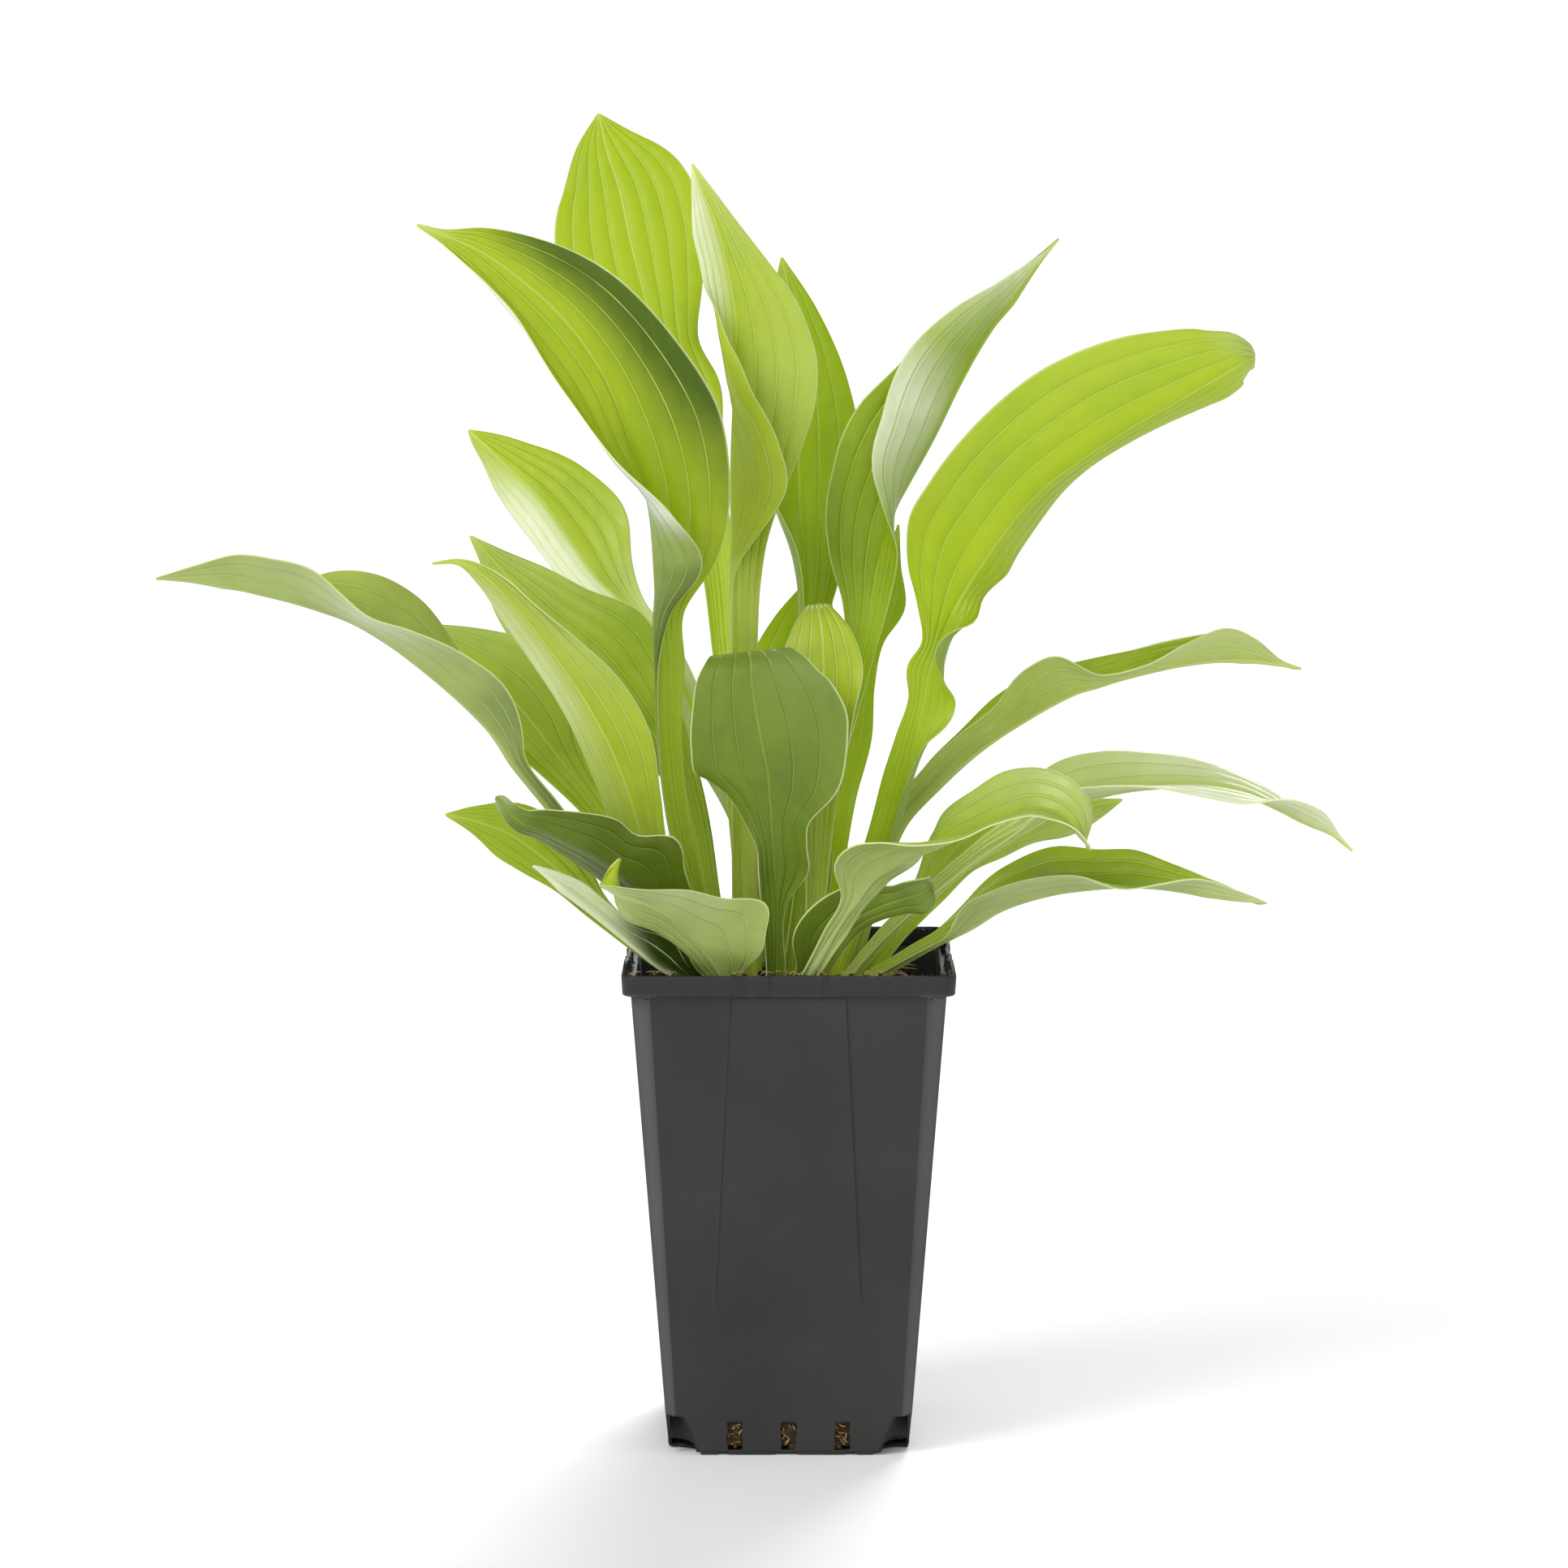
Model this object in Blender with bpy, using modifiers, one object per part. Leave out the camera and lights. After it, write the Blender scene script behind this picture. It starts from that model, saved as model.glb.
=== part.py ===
"""Potted hosta plant: a clump of wide-ribbed leaves growing from one crown in a square nursery pot.

Origin on the floor under the middle of the pot, +Z up, -Y towards the front of the pot.
Every leaf is one grown piece, petiole and blade together.
"""
import math

import bpy
import numpy as np
from mathutils import Matrix

MM = 0.001

# Driving dimensions of the pot, in millimetres
POT_HEIGHT = 156.0
COLLAR_HEIGHT = 7.0
RIM_HALF = 52.4          # half the width across the collar, at the rim
NECK_HALF = 49.5         # half the width of the body under the collar
FOOT_HALF = 38.2         # half the width of the body at the floor
WALL = 1.0
NOTCH_HEIGHT = 12.5      # the corners are set back below this height
SLOT_SPACING = 17.0
SLOT_WIDTH = 4.7
SLOT_LOW, SLOT_HIGH = 1.6, 10.7

# What the pot holds
COMPOST_TOP = 148.0
CROWN_CENTRE = (-1.5, -9.0)
CROWN_HALF = (39.0, 40.0, 26.0)
GAP = 0.3                # between pieces that touch
FOOT_SLACK = 1.0         # the compost stands a little off the wall below the set-back corners

# Leaf build: spacing of the sections along a leaf and cells across each half blade
SECTION_STEP = 12.0
CELLS_ACROSS_HALF = 3
PETIOLE_THICK = 2.6
RIB_THICK = 1.1
BLADE_THICK = 0.5
BURIED = 9.0             # how far a rib is carried on below its first station before it is trimmed level

# Where each leaf runs and how its blade opens, in millimetres and degrees
LEAN_FROM = (-1.5, -1675.0, 416.0)   # a leaf leans along the lines from this far point in front of it
# One row per station from the crown to the tip:
#   rib x, y, z | left half: width, angle at the rib, angle at the margin | right half: the same
# Angles are in degrees out of the plane that faces the front: positive comes forward, past 90 rolls over.
# `upper` is 1 where that plane's front is the leaf's upper face. `lean` carries the tip that far to the back.
LEAVES = {}
LEAVES["leaf_tall_back"] = dict(upper=1, lean=55, rows=[
    (-12, 14, 148, 3.5, 10, 60, 3.5, 10, 60),
    (-16, 18, 200, 4, 15, 60, 4, 15, 60),
    (-20, 21, 250, 5, 15, 60, 5, 15, 60),
    (-23.5, 24, 284, 7, 15, 50, 6, 15, 50),
    (-29.5, 27, 309, 12, 5, 30, 9, 10, 30),
    (-36.5, 30, 332, 20, 0, 10, 15, 0, 10),
    (-42, 32, 349, 24, 0, 5, 14, 0, -50),
    (-47, 34, 366, 25, 0, 5, 20, 0, -10),
    (-51.5, 37, 383, 24.5, 0, 5, 24.5, 0, 5),
    (-55, 40, 399, 19.5, 0, 5, 22.5, 0, 5),
    (-59.5, 43, 413, 10, 0, 0, 12, 0, 0),
    (-61.5, 45, 423, 0.4, 0, 0, 0.4, 0, 0),
])
LEAVES["leaf_broad_left"] = dict(upper=1, lean=-25, rows=[
    (-25, -4, 150, 3.5, 30, 80, 3.5, 10, 60),
    (-31, -6, 176, 4, 40, 100, 4.5, 5, 45),
    (-37, -8, 200, 4, 50, 110, 5.5, 0, 35),
    (-40, -9, 225, 4.5, 60, 115, 6, 0, 30),
    (-41, -10, 250, 5, 65, 140, 8, -5, 15),
    (-41.5, -11, 266, 8, 90, 190, 8.5, -5, 10),
    (-42, -12, 281, 19, 120, 190, 19, 0, -10),
    (-44, -13, 300, 20, 95, 150, 26, 0, 0),
    (-50, -14, 320, 21, 55, 115, 30, 0, 0),
    (-60, -14, 344, 19, 25, 100, 25, 0, 5),
    (-71, -13, 359, 18, 10, 120, 21, 0, 5),
    (-84, -11, 371, 15, 0, 140, 15, 0, 0),
    (-98, -9, 380.5, 8, 0, 110, 7.5, 0, 0),
    (-109, -7, 385, 2.5, 0, 60, 1.8, 0, 0),
    (-117, -6, 388, 0.4, 0, 0, 0.4, 0, 0),
])
LEAVES["leaf_tall_centre"] = dict(upper=1, lean=12, rows=[
    (-15, 2, 150, 4, 30, 90, 5, 0, 30),
    (-16, 2, 200, 4.5, 40, 120, 6, 0, 30),
    (-17, 3, 252, 5, 50, 140, 7, 0, 30),
    (-17.2, 4, 275, 5.5, 60, 150, 8.5, 0, 25),
    (-17.5, 5, 288, 12, 110, 175, 11, 0, 15),
    (-17.7, 6, 303, 21, 130, 180, 16, 0, 10),
    (-17.6, 7, 318, 21, 115, 180, 22, 0, 5),
    (-17.2, 8, 334, 20, 75, 185, 26, 0, 5),
    (-16.8, 8, 347, 16, 50, 180, 25.5, 0, 5),
    (-17, 7, 358, 11, 20, 150, 21.5, 0, 5),
    (-19.5, 6, 374, 8.5, 0, 20, 13, 0, 5),
    (-23.5, 4, 389, 7.5, 0, 5, 6, 0, 5),
    (-27.5, 3, 399, 3.5, 0, 5, 3, 0, 5),
    (-30.5, 2, 407, 0.4, 0, 0, 0.4, 0, 0),
])
LEAVES["leaf_mid_back"] = dict(upper=1, lean=40, rows=[
    (2, 14, 148, 3.2, 10, 60, 3.2, 10, 60),
    (3, 17, 200, 3.8, 10, 60, 3.8, 10, 60),
    (4, 19, 240, 5, 20, 70, 5, 20, 60),
    (5, 20, 261, 7, 60, 140, 8, 10, 30),
    (5, 21, 279, 12, 50, 150, 13, 0, 20),
    (3.5, 22, 299, 16, 20, 110, 18, 0, 10),
    (3, 24, 319, 18, 10, 50, 20, 0, 5),
    (3, 27, 339, 15, 0, 10, 15.5, 0, 5),
    (1, 30, 359, 8, 0, 0, 8.5, 0, 0),
    (-2.2, 32, 377, 0.4, 0, 0, 0.4, 0, 0),
])
LEAVES["leaf_folded_right"] = dict(upper=1, lean=15, rows=[
    (1.5, -4, 150, 3.5, 10, 50, 3.5, 10, 50),
    (5.5, -2, 175, 4, 10, 45, 4, 10, 45),
    (9, 0, 200, 4.2, 10, 45, 4.2, 10, 45),
    (17, 3, 230, 4.5, 10, 45, 4.5, 10, 50),
    (23, 5, 252, 5, 5, 35, 5, 20, 50),
    (26, 6, 266, 9, 0, 15, 6, 20, 50),
    (29, 7, 282, 17, 0, 5, 8, 40, 65),
    (33, 7, 296, 22, -5, 0, 12, 80, 150),
    (37.5, 6, 305, 25, -5, 0, 17, 120, 175),
    (45.5, 5, 320, 25.5, -5, 0, 20, 145, 175),
    (54, 4, 338, 18.5, -5, 0, 21, 150, 172),
    (62.5, 4, 353, 13, -5, 0, 15, 150, 170),
    (71, 4, 365, 7, -5, 0, 8, 145, 165),
    (79, 4, 376, 2, -5, 0, 2.2, 140, 160),
    (85.5, 4, 383.5, 0.4, 0, 0, 0.4, 90, 90),
])
LEAVES["leaf_small_bright"] = dict(upper=1, lean=0, rows=[
    (8, -12, 151, 3, 10, 60, 3, 10, 60),
    (9, -13, 185, 4, 10, 60, 4, 10, 60),
    (10, -13, 215, 7, 5, 40, 7, 5, 40),
    (11, -12, 235, 12, 0, 20, 11.5, 0, 70),
    (11, -11, 249, 13.5, 0, 10, 12.5, 0, 25),
    (10.5, -9, 259, 10.5, 0, 0, 9.5, 0, 5),
    (9.5, -4, 265.5, 6, 0, 0, 5.5, 0, 0),
    (9, 2, 267.6, 3, 0, 0, 3, 0, 0),
    (8.5, 7, 266.5, 0.4, 0, 0, 0.4, 0, 0),
])
LEAVES["leaf_cup_front"] = dict(upper=1, lean=-12, rows=[
    (-4, -20, 152, 3.3, 10, 60, 3.3, 10, 60),
    (-3.9, -24, 176, 5.5, 10, 60, 4, 0, 40),
    (-4.6, -26, 186, 5.6, 20, 50, 11.5, 0, 50),
    (-5.3, -28, 194, 5, 10, 20, 11.5, 0, 45),
    (-5.7, -29, 202, 8.5, 0, -20, 13, 5, 45),
    (-6.2, -30, 210, 13.5, 0, -30, 21, 5, 30),
    (-6.8, -31, 218, 22, 0, -20, 25, 0, 15),
    (-9.3, -31, 230, 22, 0, 0, 28.3, 0, 0),
    (-11, -29.5, 240, 19.5, 0, 0, 26, 0, 0),
    (-11.8, -28, 246.5, 17.5, 0, 0, 22.5, 0, 0),
    (-12, -26.5, 250.5, 15.5, 0, 0, 19, 0, 0),
    (-12.2, -23, 253.5, 13.5, 0, 0, 15, 0, 0),
    (-12.2, -18, 254.3, 12, 0, 0, 12.5, 0, 0),
    (-12.2, -13, 252.5, 8.5, 0, 0, 9, 0, 0),
    (-12.2, -8.5, 249, 0.4, 0, 0, 0.4, 0, 0),
])
LEAVES["leaf_big_right"] = dict(upper=1, lean=-30, rows=[
    (15, 0, 149, 3.5, 5, 50, 3.5, 20, 70),
    (20.5, -1, 165, 4.5, 5, 40, 4.5, 30, 90),
    (33, -3, 197, 6.8, 0, 15, 7.2, 50, 165),
    (37, -4, 212, 7, 0, 10, 8, 50, 165),
    (40, -5, 225, 6, 0, 10, 8, 30, 140),
    (43, -6, 238, 5, 0, 10, 10.5, -10, 40),
    (44.5, -7, 247, 7, 0, 10, 8, 20, 110),
    (47, -8, 255, 5, 0, 10, 13, 50, 185),
    (51, -9, 264, 12, 0, -15, 10, 40, 140),
    (55, -9.5, 271.5, 20, 0, -5, 7.5, -20, -20),
    (61, -10, 281, 27.5, 0, 0, 18, -45, -65),
    (68, -11, 291, 29, 0, 0, 20.5, -55, -75),
    (76, -12, 301, 29.5, 0, 0, 22, -60, -80),
    (102, -14, 321, 31, 0, 0, 21, -60, -80),
    (125, -15, 334.5, 24, 0, 0, 16, -50, -75),
    (137, -13.5, 341.5, 16.5, 0, -15, 12, -35, -50),
    (143.5, -10.5, 345, 10, 0, -25, 8, -25, -40),
    (146.8, -6, 345.5, 4.5, 0, -25, 4.5, -20, -30),
    (147.5, -1, 343, 0.4, 0, 0, 0.4, 0, 0),
])
LEAVES["leaf_pale_left"] = dict(upper=1, lean=45, rows=[
    (-11, 23, 147, 3.2, 10, 60, 3.2, 10, 60),
    (-15, 26, 193, 3.6, 10, 60, 3.6, 10, 60),
    (-28, 28, 223, 6, 0, 30, 5, 10, 60),
    (-40, 29, 250, 5, 10, 50, 5, 20, 60),
    (-52, 30, 264, 6, -20, -40, 6, 0, 40),
    (-62, 31, 273.5, 13, -40, -60, 15, 0, 30),
    (-70, 33, 284.5, 17, -45, -65, 20.5, 0, 10),
    (-80.5, 35, 299, 17, -45, -65, 17, 0, 5),
    (-91.5, 37, 309.5, 11, -40, -60, 10.5, 0, 0),
    (-99, 38, 316.5, 4.5, -30, -50, 5, 0, 0),
    (-104, 39, 321, 0.4, 0, 0, 0.4, 0, 0),
])
LEAVES["leaf_upper_left"] = dict(upper=1, lean=22, rows=[
    (-21, 8, 149, 3.2, 10, 60, 3.2, 10, 60),
    (-27, 8, 176, 3.6, 10, 60, 4.5, 0, 30),
    (-31, 9, 195, 4, 10, 60, 6, -10, -20),
    (-35.5, 10, 211, 5, 10, 50, 7, 0, 30),
    (-43, 11, 224, 9, 5, 30, 12, 10, 30),
    (-53, 12, 236, 13, 0, 10, 19, 0, 20),
    (-64, 13, 248, 15, 0, 5, 23, 0, 10),
    (-76, 15, 260, 14, 0, 5, 16, 0, 5),
    (-87, 17, 271, 10.5, 0, 5, 11, 0, 5),
    (-96, 19, 281, 4, 0, 0, 4.5, 0, 0),
    (-102.5, 20, 288, 0.4, 0, 0, 0.4, 0, 0),
])
LEAVES["leaf_narrow_front_left"] = dict(upper=1, lean=-20, rows=[
    (-27, -13, 151, 3.2, 10, 60, 3.2, 10, 60),
    (-38, -18, 175, 5, 10, 40, 5, 10, 50),
    (-46, -21, 194, 8.5, 0, 20, 7.5, 0, 30),
    (-50, -23, 208, 8.5, 0, 10, 10, 0, 20),
    (-56, -25, 224, 8.5, 0, 10, 13.5, 0, 15),
    (-65, -27, 241, 7.5, 0, 10, 13, 0, 15),
    (-75, -29, 256, 7, 0, 10, 9.5, 0, 40),
    (-85, -31, 269, 6, 0, 10, 7, 0, 100),
    (-94.5, -33, 279, 3.5, 0, 10, 3.5, 0, 60),
    (-103, -34, 284, 1.2, 0, 0, 1, 0, 0),
    (-111, -35, 283.5, 0.4, 0, 0, 0.4, 0, 0),
])
LEAVES["leaf_long_left"] = dict(upper=-1, lean=-15, rows=[
    (-33, -22, 152, 3.4, -100, -120, 3.5, 40, 70),
    (-54, -27, 181, 3.4, -110, -130, 3.8, 40, 70),
    (-75, -31, 208, 3.4, -110, -130, 4, 40, 70),
    (-85.5, -33.5, 221.5, 4, -112, -125, 5, 35, 60),
    (-90.5, -34.5, 228, 8, -115, -120, 10.5, 30, 50),
    (-99.5, -36, 238, 15, -120, -110, 18, 35, 45),
    (-112.5, -38.5, 250, 20, -125, -115, 20, 40, 55),
    (-125.5, -40, 260, 21, -135, -130, 19.5, 55, 70),
    (-137, -42, 266.8, 18, -140, -138, 18, 62, 78),
    (-144, -43, 269.6, 16, -130, -130, 17.5, 50, 65),
    (-152.5, -44, 272.4, 15.5, -95, -95, 17, 30, 45),
    (-164.5, -45, 275.4, 12, -75, -75, 15, 20, 35),
    (-173.5, -45.5, 277.5, 8, -75, -75, 12, 15, 25),
    (-184, -46, 279.3, 3.5, -80, -80, 5.5, 15, 20),
    (-196, -46, 279.8, 0.4, -90, -90, 0.4, 20, 20),
])
LEAVES["leaf_mid_left"] = dict(upper=1, lean=20, rows=[
    (-29, 0, 149, 3.2, 10, 60, 3.2, 10, 60),
    (-46, -3, 180, 4, 10, 60, 4, 10, 60),
    (-61, -6, 203, 5, 10, 50, 5, 10, 50),
    (-73, -8, 219, 8, 0, 40, 10, 0, 20),
    (-81, -10, 230, 11, 0, 50, 19, 0, 10),
    (-90, -12, 241, 12, 0, 10, 21, 0, 10),
    (-100, -13, 251, 9, 0, 5, 12, 0, 5),
    (-110, -14, 258, 5, 0, 0, 5, 0, 0),
    (-120, -15, 262, 0.4, 0, 0, 0.4, 0, 0),
])
LEAVES["leaf_low_dark_left"] = dict(upper=1, lean=-15, rows=[
    (-24, -25, 152, 3.5, 20, 50, 3.5, 20, 50),
    (-34.5, -31, 165.5, 6, -30, -50, 9, 0, 20),
    (-44, -35.5, 178, 10, -40, -60, 14.5, 0, 15),
    (-50, -37.5, 184.5, 11, -40, -60, 19.5, 0, 10),
    (-55, -38.5, 188.7, 12, -45, -60, 12.8, 0, 0),
    (-61, -39.5, 192.7, 12, -45, -60, 13.5, 0, 0),
    (-69, -41, 197, 11, -45, -60, 11, 0, 5),
    (-77.5, -42.5, 200.8, 7, -40, -50, 7.5, 0, 10),
    (-83.5, -43, 203, 4, -20, -30, 5, 0, 10),
    (-87, -41.5, 206, 2.8, 0, 0, 3.2, 0, 0),
    (-90.5, -37, 209.5, 2, 0, 0, 2, 0, 0),
    (-92, -33, 210, 0.4, 0, 0, 0.4, 0, 0),
])
LEAVES["leaf_low_bright_left"] = dict(upper=1, lean=5, rows=[
    (-33, -8.5, 149, 3, 10, 60, 3, 10, 60),
    (-45, -14, 159, 3.6, 10, 60, 3.6, 10, 60),
    (-61, -20, 173.5, 4.5, 10, 50, 4.5, 10, 50),
    (-71, -26, 184, 5.5, 0, 30, 9, 0, 20),
    (-80, -27, 191.5, 7.5, 0, 10, 12.5, 0, 10),
    (-89, -28, 198, 8, 0, 5, 10.5, 0, 5),
    (-99, -29, 202, 4, 0, 0, 5, 0, 0),
    (-108, -30, 204, 0.4, 0, 0, 0.4, 0, 0),
])
LEAVES["leaf_low_pale_left"] = dict(upper=-1, lean=-15, rows=[
    (-31, -36, 153, 4, -100, -120, 5, 30, 60),
    (-41, -39, 157.5, 8, -110, -120, 14, 15, 40),
    (-47, -40.5, 162.8, 8, -110, -120, 13, 20, 50),
    (-53, -41.7, 169, 7, -110, -120, 7, 30, 60),
    (-60.5, -43, 175.6, 7, -110, -115, 6, 30, 60),
    (-68, -44, 181.6, 5.5, -110, -110, 5.5, 20, 40),
    (-75, -45, 187, 2.5, -110, -110, 2.5, 20, 20),
    (-80, -46, 190.3, 0.4, -90, -90, 0.4, 20, 20),
])
LEAVES["leaf_low_front_left"] = dict(upper=-1, lean=-20, rows=[
    (-20.5, -42, 154, 3.5, 0, -30, 8, 10, 30),
    (-22.5, -43.5, 157.5, 5, -10, -40, 16, 15, 25),
    (-25.2, -45, 161.5, 5.5, -10, -40, 21, 15, 15),
    (-28.5, -46.5, 166, 6, -10, -40, 25.5, 10, 10),
    (-33, -48, 171, 7, -10, -40, 17, 10, 5),
    (-38.5, -50.5, 176, 8.5, 0, -40, 11, 5, 0),
    (-44.5, -52, 179.5, 11, -10, -60, 5.5, 0, 0),
    (-50, -53, 181.7, 12, -70, -115, 3, 0, 0),
    (-54.5, -52.5, 183, 11.5, -115, -150, 2, 0, 0),
    (-57.5, -51, 184, 8, -110, -150, 1, 0, 0),
    (-59, -50, 184.4, 0.4, -90, -90, 0.4, 0, 0),
])
LEAVES["leaf_curled_front_right"] = dict(upper=1, lean=-8, rows=[
    (9, -32, 154, 7, 10, 30, 3.5, 10, 50),
    (13, -35, 163, 13, 10, 40, 4.5, 0, 40),
    (19, -37, 170.5, 13, 10, 30, 4.5, 0, -20),
    (27, -38.5, 175.5, 9.5, 0, 10, 5, 0, -20),
    (35, -39.5, 178.5, 5.5, 0, 20, 6, 0, -20),
    (41, -40, 180.5, 7, 10, 60, 7.5, 0, -10),
    (44, -38, 182, 5, 20, 60, 5, 0, 0),
    (45, -35, 183, 0.4, 0, 0, 0.4, 0, 0),
])
LEAVES["leaf_low_front_right"] = dict(upper=-1, lean=-30, rows=[
    (6.5, -44, 155, 3.5, 30, 60, 3.5, 30, 60),
    (14, -46, 168.5, 4, 20, 50, 4, 20, 50),
    (21, -48, 180, 6, 20, 45, 4.5, -20, -40),
    (25.5, -49, 186, 15, 20, 40, 8, -40, -60),
    (35, -50, 192, 16, 30, 48, 10, -50, -70),
    (47, -52, 197.5, 14, 50, 80, 13, -110, -120),
    (58, -54, 202.5, 12, 70, 90, 15, -125, -125),
    (68.5, -56, 207, 10, 70, 85, 16, -130, -125),
    (77.5, -58, 209.5, 7, 70, 90, 13, -130, -125),
    (85.5, -59, 206.5, 5, 60, 80, 10, -130, -120),
    (93.5, -60, 197, 0.4, 0, 0, 0.4, 0, 0),
])
LEAVES["leaf_low_back_right"] = dict(upper=1, lean=30, rows=[
    (26, -4, 149.5, 2.4, 10, 60, 2.4, 10, 60),
    (35, -5, 162.5, 2.8, 10, 60, 2.8, 10, 60),
    (46, -6, 176.5, 7, 0, 20, 5, 0, -30),
    (56, -8, 186.5, 14, 0, 10, 6, -30, -50),
    (67, -9, 193.5, 15, 0, 10, 8, -30, -50),
    (79, -10, 199, 10, 0, 10, 8, -30, -50),
    (90, -11, 202.5, 5, 0, 0, 7, 0, -20),
    (99, -12, 205, 2, 0, 0, 4, 0, 0),
    (106, -12, 206.5, 0.4, 0, 0, 0.4, 0, 0),
])
LEAVES["leaf_long_right"] = dict(upper=-1, lean=5, rows=[
    (20, -12, 150, 2.6, 70, 90, 2.8, -150, -150),
    (33, -15, 166, 2.8, 90, 100, 3, -150, -150),
    (48, -18, 180, 3, 95, 105, 3.2, -160, -150),
    (62, -20, 191.5, 3.6, 95, 110, 4, -160, -150),
    (75, -22, 199, 6, 70, 80, 8, -140, -140),
    (87, -24, 205.5, 12, 50, 55, 18, -135, -120),
    (100, -26, 210, 10, 60, 65, 19, -130, -120),
    (114, -28, 212.5, 8, 70, 95, 15, -130, -120),
    (129, -30, 213.5, 8, 90, 130, 12, -120, -110),
    (142.5, -31, 211.5, 8, 100, 110, 10, -110, -100),
    (154, -32, 207, 9, 60, 60, 9, -100, -100),
    (165, -33, 201.5, 7, 40, 40, 5, -90, -90),
    (171.5, -33, 198, 1.5, 20, 20, 1.5, -60, -60),
    (177, -33, 193, 0.4, 0, 0, 0.4, 0, 0),
])
LEAVES["leaf_upper_right"] = dict(upper=-1, lean=45, rows=[
    (20.5, 13, 148.5, 3.2, 40, 60, 3.2, -120, -120),
    (28, 11, 175, 3.8, 40, 60, 3.8, -120, -120),
    (37, 7, 198, 6, 20, 40, 5, -130, -130),
    (47, 2, 209, 8, 20, 30, 8, -140, -140),
    (59, -4, 220.5, 10, 30, 30, 10, -140, -135),
    (70.5, -9, 229, 11, 30, 30, 14, -135, -135),
    (82, -13, 236.5, 17, 20, 40, 14, -135, -130),
    (89.5, -14, 240.5, 15, 20, 30, 12, -135, -130),
    (98, -15, 244, 6, 50, 60, 10, -140, -130),
    (111, -16, 248, 5, 60, 80, 8, -150, -140),
    (125, -17, 251, 8, 40, 40, 10, -140, -130),
    (138, -18, 252, 11, 20, 30, 10, -140, -130),
    (146, -18, 252, 7, 20, 20, 6, -140, -130),
    (155, -19, 250.5, 1.5, 20, 20, 1.5, -120, -120),
    (161.5, -19, 249, 0.4, 0, 0, 0.4, 0, 0),
])
LEAVES["leaf_lowest_right"] = dict(upper=-1, lean=-25, rows=[
    (29, -24, 153, 2.4, 80, 90, 2.4, -150, -150),
    (39.5, -28, 160, 2.4, 90, 100, 2.6, -150, -150),
    (48, -31, 165.2, 2.8, 90, 100, 3.2, -150, -140),
    (57, -33, 169.5, 8, 40, 50, 8, -140, -140),
    (69, -36, 176, 12.5, 45, 45, 15, -130, -130),
    (83, -39, 180.5, 11.5, 45, 45, 17, -135, -130),
    (95.5, -41, 182.5, 10.5, 50, 60, 14, -130, -130),
    (107, -43, 183.5, 9, 70, 90, 12.5, -130, -130),
    (118, -44, 183.5, 8, 60, 70, 8, -130, -130),
    (128, -45, 182.5, 7, 40, 40, 5.5, -120, -120),
    (140, -46, 180, 3, 20, 20, 3, -100, -100),
    (149, -47, 178.5, 0.4, 0, 0, 0.4, 0, 0),
])
LEAVES["leaf_back_centre"] = dict(upper=1, lean=45, rows=[
    (-5, 28, 147, 3, 10, 60, 3, 10, 60),
    (-9, 31, 178, 5, 10, 40, 5, 10, 40),
    (-9, 34, 199, 11, 0, 20, 9, 0, 20),
    (-5, 37, 219, 15, 0, 10, 13, 0, 10),
    (0, 39, 239, 15, 0, 10, 13, 0, 10),
    (5, 41, 256, 11, 0, 5, 10, 0, 5),
    (9, 43, 269, 5, 0, 0, 5, 0, 0),
    (11, 44, 278, 0.4, 0, 0, 0.4, 0, 0),
])
LEAVES["leaf_back_right"] = dict(upper=1, lean=45, rows=[
    (10, 15, 148, 3, 10, 60, 3, 10, 60),
    (13, 18, 180, 5, 10, 40, 5, 10, 40),
    (16, 20, 204, 7, 0, 20, 6, 0, 30),
    (20, 22, 223, 8, 0, 10, 7, 0, 10),
    (23, 24, 240, 8, 0, 10, 5, 0, 10),
    (27, 26, 254, 6, 0, 0, 4, 0, 0),
    (31, 27, 266, 5, 0, 0, 7, 0, 0),
    (34, 28, 278, 3, 0, 0, 2.5, 0, 0),
    (35.5, 29, 291, 0.4, 0, 0, 0.4, 0, 0),
])
LEAVES["leaf_low_back"] = dict(upper=1, lean=3, rows=[
    (-4, 7, 149, 3, 10, 60, 3, 10, 60),
    (0, 8, 163, 9, 0, 20, 8, 0, 20),
    (2, 9, 177, 12, 0, 10, 11.5, 0, 10),
    (2.5, 10, 190, 10, 0, 10, 11, 0, 10),
    (3, 10, 202, 5, 0, 0, 5, 0, 0),
    (3.5, 10, 211, 0.4, 0, 0, 0.4, 0, 0),
])


# The curved surface of a leaf
def hermite(knots, values, at):
    """Smooth curve through the stations: cubic Hermite pieces, slopes from the neighbours on each side."""
    values = np.asarray(values, float)
    step = np.diff(knots)
    chord = np.diff(values, axis=0) / step[:, None]
    slope = np.empty_like(values)
    slope[0], slope[-1] = chord[0], chord[-1]
    weighted = chord[:-1] * step[1:, None] + chord[1:] * step[:-1, None]
    slope[1:-1] = weighted / (step[1:] + step[:-1])[:, None]
    i = np.clip(np.searchsorted(knots, at, side="right") - 1, 0, len(knots) - 2)
    h = step[i][:, None]
    t = ((at - knots[i]) / step[i])[:, None]
    return ((2 * t ** 3 - 3 * t ** 2 + 1) * values[i] + (t ** 3 - 2 * t ** 2 + t) * h * slope[i]
            + (3 * t ** 2 - 2 * t ** 3) * values[i + 1] + (t ** 3 - t ** 2) * h * slope[i + 1])


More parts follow.
